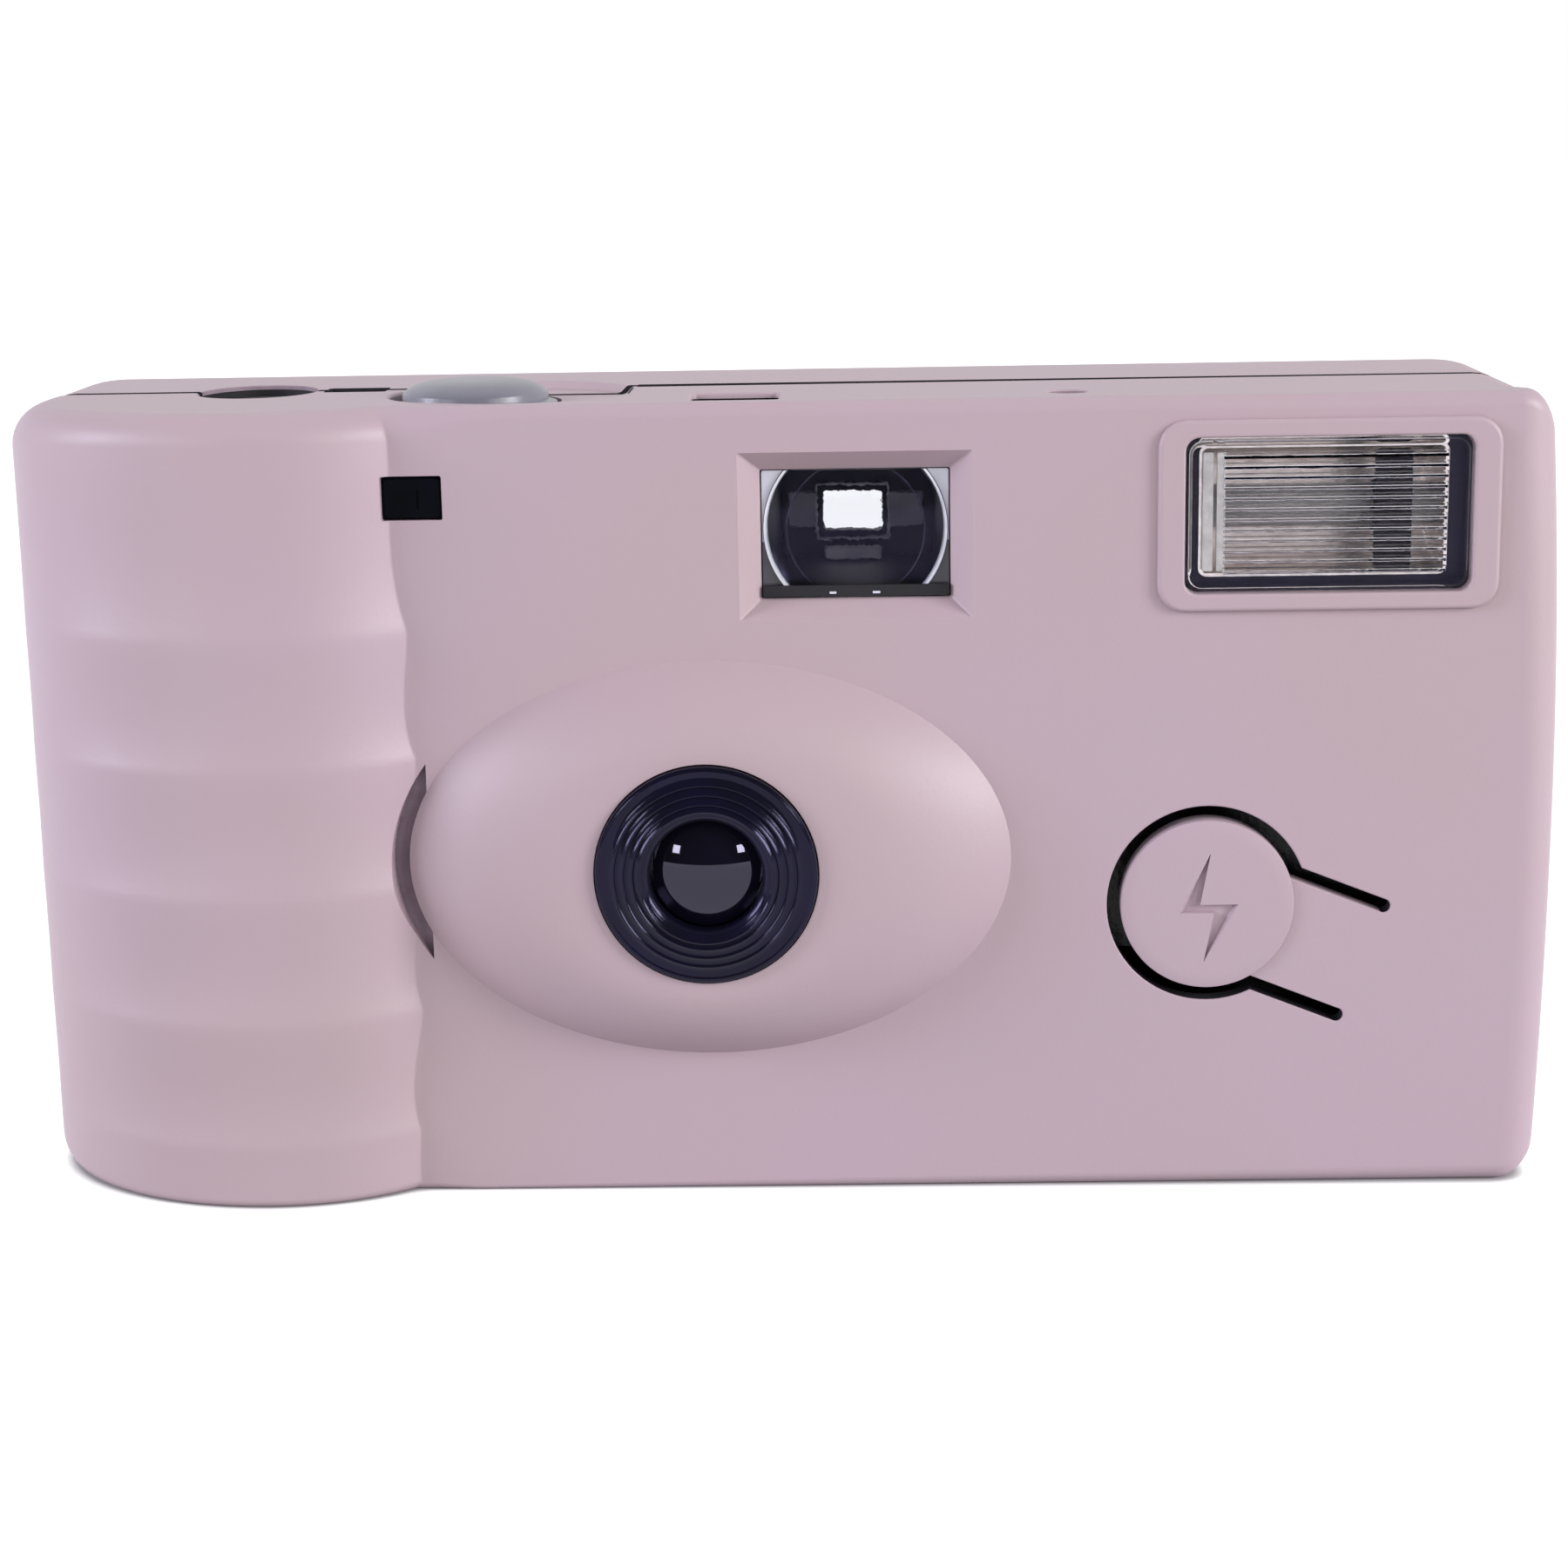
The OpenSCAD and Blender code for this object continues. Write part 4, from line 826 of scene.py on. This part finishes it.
class CAMERA_OT_charge_button(bpy.types.Operator):
    """Flash charge button: round pad with an engraved bolt on a springy neck"""
    bl_idname = "film_camera.charge_button"
    bl_label = "Charge button"

    def execute(self, context):
        rim = mm(sizes()[0].rim) * 0.35
        loops = [upright(charge_shape(0), WALL)]
        loops += [upright(charge_shape(-g), d) for g, d in reversed(rim_steps(rim))]
        tongue = loft("charge_button", loops)
        r = mm(sizes()[1].charge_radius)
        pad = [(r - 0.02, 1.0), (r - 0.02, -0.2), (r - 0.05, -0.26), (r - 0.14, -0.3)]
        pad += [(r * (1 - k / 12), -0.3 - 0.05 * (1 - (1 - k / 12) ** 2)) for k in range(2, 13)]
        combine(tongue, turned("pad", pad, *CHARGE, "y"), "UNION")
        bolt = [(0.2, 4.0), (-2.1, -0.65), (0.5, -0.65), (-0.25, -4.5), (2.3, 0.0), (-0.55, 0.0)]
        outline = [(CHARGE[0] + x, CHARGE[1] + z) for x, z in bolt]
        inner = [(CHARGE[0] + 0.05 + x * 0.86, CHARGE[1] + z * 0.9) for x, z in bolt]
        combine(tongue, loft("bolt", [upright(outline, -2), upright(outline, -0.36), upright(inner, 0.1)]))
        smooth(tongue)
        settle(tongue, None, "lilac_plastic", "lilac_plastic", "flash_button")
        (x0, z0), (x1, z1) = charge_place(12.2, 0), charge_place(6.0, 0)
        start, end = metres(x0, WALL / 2, z0), metres(x1, WALL / 2, z1)
        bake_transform(tongue)
        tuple(start)
        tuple(end)
        return {"FINISHED"}


class CAMERA_OT_lens(bpy.types.Operator):
    """Taking lens and its ridged black ring"""
    bl_idname = "film_camera.lens"
    bl_label = "Lens and ring"

    def execute(self, context):
        r, hole = mm(sizes()[1].ring_radius), mm(sizes()[1].ring_hole)
        profile = [(r - 1, 2.0), (r - 1, -3.8), (r, -3.8), (r, -4.75), (r - 0.07, -4.93), (r - 0.2, -5.0)]
        for place in (0.955, 0.835, 0.75, 0.667, 0.605):
            base, height = -5.0 - 0.45 * (1 - place) / 0.4, (0.06 if place > 0.9 else 0.14)
            profile += [(place * r + dr, base - share * height) for dr, share in
                        ((0.16, 0), (0.07, 0.8), (0, 1), (-0.07, 0.8), (-0.16, 0))]
        profile += [(0.575 * r, -5.42), (0.555 * r, -5.36), (hole + 0.08, -5.1), (hole, -4.9)]
        profile += [(hole, -1.5), (4.85, -1.5), (4.85, 2.0)]
        ring = turned("lens_ring", profile, *LENS, "y", 144)
        close_tube(ring)
        smooth(ring, 40)
        # The bore and the outer edge get the near-black finish: painted shade in the hole and a painted
        # shadow round the ring.
        for face in ring.data.polygons:
            away = math.hypot(face.center.x * 1000 - LENS[0], face.center.z * 1000 - LENS[1])
            face.material_index = 1 if away < hole + 0.02 or away > r - 0.12 else 0
        settle(ring, "camera", "gloss_black_plastic", "gloss_black_plastic dark_gap", "lens_ring")
        ball, reach = 7.3, 3.95                   # radius of the lens surface, and of its free part
        glass = [(4.8, 1.0), (4.8, -0.6), (reach, -0.6)]
        for k in range(21):
            radius = reach * (1 - k / 20)
            bulge = math.sqrt(ball ** 2 - radius ** 2) - math.sqrt(ball ** 2 - reach ** 2)
            glass.append((radius, -4.0 - bulge))
        lens = turned("taking_lens", glass, *LENS, "y", 96)
        attach(lens, "glass", "lens_acrylic", "taking_lens", angle=50)
        return {"FINISHED"}


class CAMERA_OT_finder(bpy.types.Operator):
    """Viewfinder: round front lens on a plate, dark tube with its far end, and eyepiece"""
    bl_idname = "film_camera.finder"
    bl_label = "Viewfinder"

    def execute(self, context):
        x, z = FINDER
        w, h = FINDER_SIZE
        radius, lens_z = 6.8, z + 0.35
        window = round_rect(x, z, w - 0.2, h - 0.2, 0.15)
        # The same plate twice: its upper half pale as painted light, its lower half dark as painted shade.
        for name, middle, look in (("finder_plate_upper", z + 4.4, "mask_painted_light"),
                                   ("finder_plate_lower", z - 5.6, "mask_painted_shade")):
            plate = slab(name, window, 1.75, 2.75)
            combine(plate, slab("plate_hole", disc(x, lens_z, radius, 96), *THROUGH))
            combine(plate, slab("half", round_rect(x, middle, 30, 10, 0.01), *THROUGH), "INTERSECT")
            attach(plate, "black_plastic", look)
        # The finder lens's edge: a thin ring in the painted highlight.
        rim = turned("lens_edge", [(radius - 0.05, 1.5), (radius - 0.05, 2.7), (radius - 0.32, 2.7),
                                   (radius - 0.22, 1.5)], x, lens_z, "y")
        close_tube(rim)
        combine(rim, slab("clip", window, *THROUGH), "INTERSECT")
        attach(rim, "clear_plastic", "painted_glint")
        shares = [k / 16 for k in range(17)]
        bulge = [((radius - 0.35) * s, 2.6 - 0.85 * (1 - s ** 2)) for s in shares]
        bulge += [((radius - 0.35) * s, 1.9 - 0.85 * (1 - s ** 2)) for s in reversed(shares)]
        lens = turned("finder_front_lens", bulge, x, lens_z, "y")
        combine(lens, slab("clip", window, *THROUGH), "INTERSECT")
        attach(lens, "clear_plastic", "window_plastic", "finder_front_lens", angle=50)
        sill = slab("finder_sill", round_rect(x, z - 4.22, w - 0.24, 0.82, 0.05), 1.2, 1.45)
        attach(sill, "black_plastic", "dark_gap")
        # Two small painted highlights on the sill.
        for k, (dx, wide) in enumerate(((-1.7, 0.5), (1.5, 0.55))):
            glint = slab(f"sill_glint_{k}", round_rect(x + dx, z - 4.34, wide, 0.16, 0.04), 1.12, 1.22)
            attach(glint, "clear_plastic", "painted_glint")
        line = turned("lens_flange", [(5.0, 2.95), (5.0, 3.1), (5.12, 3.1), (5.12, 2.95)], x, z + 0.1, "y")
        close_tube(line)
        combine(line, slab("clip", window, *THROUGH), "INTERSECT")
        attach(line, "black_plastic", "tube_black")
        tube = slab("finder_tube", round_rect(x, z, w + 2.8, h + 2.4, 0.3), 2.8, 26)
        bore = [upright(round_rect(x, z - drop, bw, bh, 0.6), y) for drop, bw, bh, y in
                ((0, 14.2, 9.9, 1), (0, 14.2, 9.9, 3.6), (0.5, 12.6, 8.8, 14), (0.9, 12.0, 8.2, 24.4))]
        combine(tube, loft("tube_bore", bore))
        ex, ez = EYE[0] - 0.35, EYE[1]
        combine(tube, slab("eye_hole", round_rect(ex, ez, 4.7, 3.25, 0.35), 20, 30))
        attach(tube, "black_plastic", "tube_black", "finder_tube")
        # Two lighter flats beside the eyepiece and a stripe below it: painted light on the tube's walls and a
        # painted reflection on its floor.
        flats = [(ex - 4.0, ez + 0.15, 2.2, 2.7, 24.1, "tube_painted_light"),
                 (ex + 4.2, ez + 0.1, 2.7, 2.7, 24.1, "tube_painted_light"),
                 (ex, ez - 3.0, 4.4, 0.9, 21.5, "painted_glint")]
        for k, (cx, cz, fw, fh, y, look) in enumerate(flats):
            flat = loft(f"finder_flat_{k}", [upright(round_rect(cx, cz, fw, fh, 0.2), y),
                                             upright(round_rect(cx, cz, fw + 0.3, fh + 0.3, 0.3), y + 0.4)])
            attach(flat, "black_plastic", look)
        # Thin frame round the eyepiece in the painted highlight.
        frame_line = slab("finder_frame_line", round_rect(ex, ez, 5.9, 4.5, 0.3), 23.9, 24.4)
        combine(frame_line, slab("line_hole", round_rect(ex, ez, 5.55, 4.15, 0.25), 20, 30))
        attach(frame_line, "black_plastic", "painted_glint")
        return {"FINISHED"}


class CAMERA_OT_flash(bpy.types.Operator):
    """Flash: clear ribbed window, black surround, foil reflector and glass tube"""
    bl_idname = "film_camera.flash"
    bl_label = "Flash"

    def execute(self, context):
        x, z = FLASH
        ribs = sizes()[1].ribs
        pane = [upright(round_rect(x, z, 20.2 - 2 * g, 10.8 - 2 * g, 1 - g), -0.1 + d)
                for g, d in rim_steps(0.4)]
        pane += [upright(round_rect(x, z, 20.6, 11.2, 0.9), y) for y in (0.5, 1.4)]
        window = loft("flash_window", pane)
        left, right, low, pitch = x - 7.5, x + 8.7, z - 4.6, 9.2 / ribs
        for k in range(ribs):
            base = low + k * pitch
            wedge = [(1.2, base + 0.02), (1.2, base + pitch - 0.02), (1.74, base + pitch * 0.7),
                     (1.74, base + pitch * 0.5)]
            combine(window, loft("rib", [[(px, *p) for p in wedge] for px in (left, right)]), "UNION")
        attach(window, "clear_plastic", "rib_plastic", "flash_window", angle=25)
        body = slab("flash_holder", round_rect(x, z, 24.8, 13.4, 0.5), 2.4, 11.4)
        mouth, w, h = (x - 0.15, z + 0.1), 17.6, 9.2
        combine(body, slab("well", round_rect(*mouth, w + 0.5, h + 0.5, 0.6), 0, 10.4))
        attach(body, "black_plastic", "tube_black", "flash_holder")
        loops = []
        for k in range(9):
            a = math.pi / 2 * k / 8
            share = max(math.cos(a), 0.12)
            trough = round_rect(*mouth, w - 1.6 + 1.6 * math.cos(a), h * share, 0.4 * share)
            loops.append(upright(trough, 2.3 + 7.2 * math.sin(a)))
        foil = loft("flash_reflector", loops)
        open_mouth(foil, 2.3, 0.25)
        attach(foil, "reflector_foil", "reflector_foil", "flash_reflector", angle=40)
        profile = [(0, -9.9), (1.25, -9.9), (1.6, -9.5), (1.6, 9.5), (1.25, 9.9), (0, 9.9)]
        tube = across("flash_tube", profile, x, FLASH_TUBE_Y, z)
        attach(tube, "glass", "tube_glass", "flash_tube")
        for k, (cx, width) in enumerate(((x - 8.6, 0.75), (x - 7.65, 0.6))):
            fold = slab(f"foil_fold_{k}", round_rect(cx, mouth[1], width, h - 0.5, 0.1), 1.75, 2.2)
            attach(fold, "reflector_foil", "foil_fold")
        clip = slab("trigger_clip", round_rect(x + 4.85, mouth[1], 2.7, h - 0.3, 0.4), 1.8, 2.2)
        attach(clip, "black_plastic", "dark_gap")
        profile = [(1.62, 3.9), (1.78, 4.1), (1.78, 5.6), (1.62, 5.8)]
        collar = across("tube_electrode", profile, x, FLASH_TUBE_Y, z)
        close_tube(collar)
        attach(collar, "black_plastic", "tube_black")
        return {"FINISHED"}


class CAMERA_OT_controls(bpy.types.Operator):
    """Shutter button with its spring, ready lamp, grip pane and the counter's numbers"""
    bl_idname = "film_camera.controls"
    bl_label = "Controls"

    def execute(self, context):
        fitting = sizes()[1]
        top, r, crown = top_z(), mm(fitting.button_radius), mm(fitting.button_crown)
        step = r - 0.7
        profile = [(0, 48.65), (1, 48.65), (1, 49.9), (2.2, 49.9), (2.2, top - 2.6), (3.4, top - 2.6),
                   (3.4, top - WALL), (r, top - WALL), (r, top - 0.7), (r - 0.06, top - 0.6),
                   (step + 0.1, top - 0.55), (step, top - 0.45), (step, top - 0.08), (step - 0.04, top)]
        for k in range(1, 17):
            share = math.cos(math.pi / 2 * k / 16) if k < 16 else 0
            profile.append((step * share, top + 0.02 + (crown - 0.02) * (1 - share ** 3.5) ** 0.6))
        button = turned("shutter_button", profile, *BUTTON, "z")
        smooth(button, 40)
        settle(button, "release_button", "grey_plastic", "grey_plastic", "shutter_button")
        low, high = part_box("button_spring")
        spring = coil("button_spring", BUTTON, low.z * 1000, high.z * 1000, 2.65, 0.24, 4.5)
        smooth(spring, 60)
        settle(spring, None, "spring_steel", "spring_steel", "button_spring")
        ends = [(*metres(*BUTTON, 0)[:2], z) for z in (low.z, high.z)]
        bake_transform(spring)
        profile = [(0, 53.6), (1.5, 53.6), (1.5, top - 1.7), (1.4, top - 1.7), (1.4, top - 0.8),
                   (1.25, top - 0.6), (0.7, top - 0.48), (0, top - 0.45)]
        lamp = turned("ready_lamp", profile, *LAMP, "z", 48)
        attach(lamp, "amber_lamp", "amber_lamp", "ready_lamp")
        cx, cz = PANE
        w, h, flange = 4.25, 3.05, round_rect(cx, cz, 6.2, 4.6, 0.3)
        pane = [upright(round_rect(cx, cz, w - 2 * g, h - 2 * g, 0.3), 0.15 + d) for g, d in rim_steps(0.15)]
        pane += [upright(round_rect(cx, cz, w, h, 0.3), 1.6), upright(flange, 1.6), upright(flange, 2.6)]
        glass = loft("grip_window", pane)
        combine(glass, slab("pane_line", round_rect(cx + 0.45, cz - 0.1, 0.18, 1.4, 0.08), -1, 0.3))
        attach(glass, "smoke_pane", "smoke_pane", "grip_window")
        dial_numbers()
        return {"FINISHED"}


def dial_numbers():
    """Plain numbers printed on the counter dial."""
    low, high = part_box("counter_dial")
    cx, cy, radius = (low.x + high.x) / 2, (low.y + high.y) / 2, 0.0062
    for k in range(10):
        a = math.radians(36 * k)
        words = bpy.data.curves.new(f"number_{27 - 3 * k}", "FONT")
        words.body = str(27 - 3 * k)
        words.size = 0.0026
        words.align_x, words.align_y = "CENTER", "CENTER"
        words.extrude = 0.00001
        text = place_object(words.name, words)
        depsgraph = bpy.context.evaluated_depsgraph_get()
        mesh = bpy.data.meshes.new_from_object(text.evaluated_get(depsgraph))
        bpy.data.objects.remove(text)
        place = (cx + radius * math.sin(a), cy + radius * math.cos(a), high.z + 0.00002)
        mesh.transform(Matrix.Translation(place) @ Matrix.Rotation(-a, 4, "Z"))
        settle(place_object(words.name, mesh), "counter", "white_plastic", "dial_ink")


class CAMERA_OT_inside(bpy.types.Operator):
    """Finishes of the chassis, film transport, shutter and electrics, which keep their CAD shapes"""
    bl_idname = "film_camera.inside"
    bl_label = "Inside"

    def execute(self, context):
        finishes = {
            "black_plastic": ["main_frame", "shutter_plate", "wind_wheel", "cartridge_spool", "supply_spool",
                              "sprocket", "flash_transistor"],
            "clear_plastic": ["finder_eyepiece"],
            "white_plastic": ["counter_dial"],
            "spring_steel": ["shutter_blade", "shutter_spring", "release_lever",
                             "battery_contact_plus", "battery_contact_minus"],
            "brass_leaf": ["sync_contact", "charge_leaf"],
            # The board's near black is painted shade behind the charge slot.
            "circuit_resin": ["circuit_board"],
            "capacitor_sleeve": ["flash_capacitor"],
            "winding_tape": ["flash_transformer"],
            "copper_winding": ["trigger_coil"],
            "cell_jacket": ["battery"],
            "cartridge_tin": ["film_cartridge"],
            "film_base": ["film_strip", "supply_roll"],
        }
        for key, nodes in finishes.items():
            for name in nodes:
                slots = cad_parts[name].data.materials
                slots.clear()
                slots.append(finish(key))
        return {"FINISHED"}


# Stage

# Name, place and size in metres, power in watts, colour
LAMPS = [("softbox_right", (1.08, -0.5, 0.42), (0.4, 0.5), 12.6, "#FFFFFF"),
         ("softbox_left", (-1.14, -0.36, 0.42), (0.4, 0.5), 10.8, "#EFEFFF"),
         ("strobe_right", (0.74, -0.9, 0.34), (0.18, 0.18), 1.7, "#FFFFFF"),
         ("strobe_left", (-0.74, -0.9, 0.34), (0.18, 0.18), 1.7, "#FFFFFF")]
AIM = Vector((0, 0, 0.03))                        # point that the lamps face


class CAMERA_OT_stage(bpy.types.Operator):
    """White floor, soft studio light and the camera at the photograph's angle"""
    bl_idname = "film_camera.stage"
    bl_label = "Stage"

    def execute(self, context):
        scene = context.scene
        scene.view_settings.view_transform = "Standard"
        mesh = bpy.data.meshes.new("floor")
        mesh.from_pydata([(-3, -3, 0), (3, -3, 0), (3, 3, 0), (-3, 3, 0)], [], [(0, 1, 2, 3)])
        mesh.materials.append(white_floor())
        place_object("floor", mesh)
        scene.world = studio_world()
        for name, place, size, power, colour in LAMPS:
            data = bpy.data.lights.new(name, "AREA")
            data.shape = "RECTANGLE"
            data.size, data.size_y = size
            data.energy = power
            data.color = linear(colour)[:3]
            lamp = place_object(name, data)
            lamp.location = place
            lamp.rotation_euler = (AIM - Vector(place)).to_track_quat("-Z", "Y").to_euler()
        add_camera(scene)
        return {"FINISHED"}


def white_floor():
    """Paper floor, plain white to the camera except for the dark line where the object touches it."""
    material = bpy.data.materials.new("white_paper_floor")
    tree = empty_tree(material)
    path = add_node(tree, "ShaderNodeLightPath")
    seen = add_maths(tree, "MAXIMUM", (path, "Is Camera Ray"), (path, "Is Transmission Ray"))
    seen = add_maths(tree, "MAXIMUM", (seen, "Value"), (path, "Is Glossy Ray"))
    near = add_node(tree, "ShaderNodeAmbientOcclusion", {"Distance": 0.0014})
    lift = add_ramp(tree, (near, "AO"), (0.0, 0.85), (0.3, 0.75))
    lift = add_maths(tree, "MULTIPLY", (lift, "Result"), (seen, "Value"))
    paper = add_node(tree, "ShaderNodeBsdfDiffuse", {"Color": linear("#BDBCBD")})
    glow = add_node(tree, "ShaderNodeEmission", links={"Strength": (lift, "Value")})
    both = add_node(tree, "ShaderNodeAddShader", links={0: (paper, "BSDF"), 1: (glow, "Emission")})
    add_node(tree, "ShaderNodeOutputMaterial", links={"Surface": (both, "Shader")})
    return material


def studio_world():
    """White room to the camera, soft fill from above and behind, and a darker front in reflections."""
    world = bpy.data.worlds.new("studio")
    tree = empty_tree(world)
    path = add_node(tree, "ShaderNodeLightPath")
    way = add_node(tree, "ShaderNodeTexCoord")
    parts = add_node(tree, "ShaderNodeSeparateXYZ", links={"Vector": (way, "Generated")})
    room = add_ramp(tree, (parts, "Y"), (0.05, 1.0), (-0.35, 0.35))
    seen = add_maths(tree, "MAXIMUM", (path, "Is Camera Ray"), (path, "Is Transmission Ray"))
    above = add_ramp(tree, (parts, "Z"), (0.24, 0.465), (-0.4, 0.4))
    behind = add_ramp(tree, (parts, "Y"), (0.0, 0.45), (0.3, 0.9))
    fill = add_maths(tree, "ADD", (above, "Result"), (behind, "Result"))
    light = add_node(tree, "ShaderNodeMix", links={"Factor": (path, "Is Glossy Ray"), "A": (fill, "Value"),
                                                   "B": (room, "Result")})
    light = add_node(tree, "ShaderNodeMix", {"B": 1.0}, {"Factor": (seen, "Value"), "A": (light, "Result")})
    sky = add_node(tree, "ShaderNodeBackground", {"Color": linear("#FFFFFF")},
                   {"Strength": (light, "Result")})
    add_node(tree, "ShaderNodeOutputWorld", links={"Surface": (sky, "Background")})
    return world


def add_camera(scene):
    """Camera fitted to the photograph: place and turn in panel millimetres, picture taken as square."""
    data = bpy.data.cameras.new("photo_camera")
    data.sensor_fit = "HORIZONTAL"
    data.sensor_width = 36
    data.lens = 36 * 3437.3 / 1800                # focal length in pixels over the photograph's width
    data.clip_start, data.clip_end = 0.01, 20
    place = metres(7.688, -216.682, 81.314)
    yaw, pitch, roll = math.radians(-1.855), math.radians(12.884), math.radians(-1.058)
    forward = Vector((math.sin(yaw) * math.cos(pitch), math.cos(yaw) * math.cos(pitch), -math.sin(pitch)))
    right = Vector((math.cos(yaw), -math.sin(yaw), 0))
    up = right.cross(forward)
    right, up = math.cos(roll) * right + math.sin(roll) * up, -math.sin(roll) * right + math.cos(roll) * up
    turn = Matrix((right, up, -forward)).transposed().to_4x4()
    scene.camera = place_object("photo_camera", data)
    scene.camera.matrix_world = Matrix.Translation(place) @ turn


class CAMERA_PT_panel(bpy.types.Panel):
    """Lists the steps that build the camera"""
    bl_idname = "CAMERA_PT_panel"
    bl_label = "Film camera"
    bl_space_type = "VIEW_3D"
    bl_region_type = "UI"
    bl_category = "Film camera"

    def draw(self, context):
        for step in STEPS:
            self.layout.operator(step.bl_idname)


STEPS = [CAMERA_OT_front_shell, CAMERA_OT_back_shell, CAMERA_OT_charge_button, CAMERA_OT_lens,
         CAMERA_OT_finder, CAMERA_OT_flash, CAMERA_OT_controls, CAMERA_OT_inside, CAMERA_OT_stage]
CLASSES = [CoverSizes, FittingSizes, CoverColours, *STEPS, CAMERA_PT_panel]


def register():
    for part in CLASSES:
        bpy.utils.register_class(part)
    bpy.types.Scene.cover_sizes = bpy.props.PointerProperty(type=CoverSizes)
    bpy.types.Scene.fitting_sizes = bpy.props.PointerProperty(type=FittingSizes)
    bpy.types.Scene.cover_colours = bpy.props.PointerProperty(type=CoverColours)


def unregister():
    del bpy.types.Scene.cover_sizes
    del bpy.types.Scene.fitting_sizes
    del bpy.types.Scene.cover_colours
    for part in reversed(CLASSES):
        bpy.utils.unregister_class(part)


def main():
    register()
    for step in STEPS:
        group, name = step.bl_idname.split(".")
        getattr(getattr(bpy.ops, group), name)()


if __name__ == "__main__":
    main()
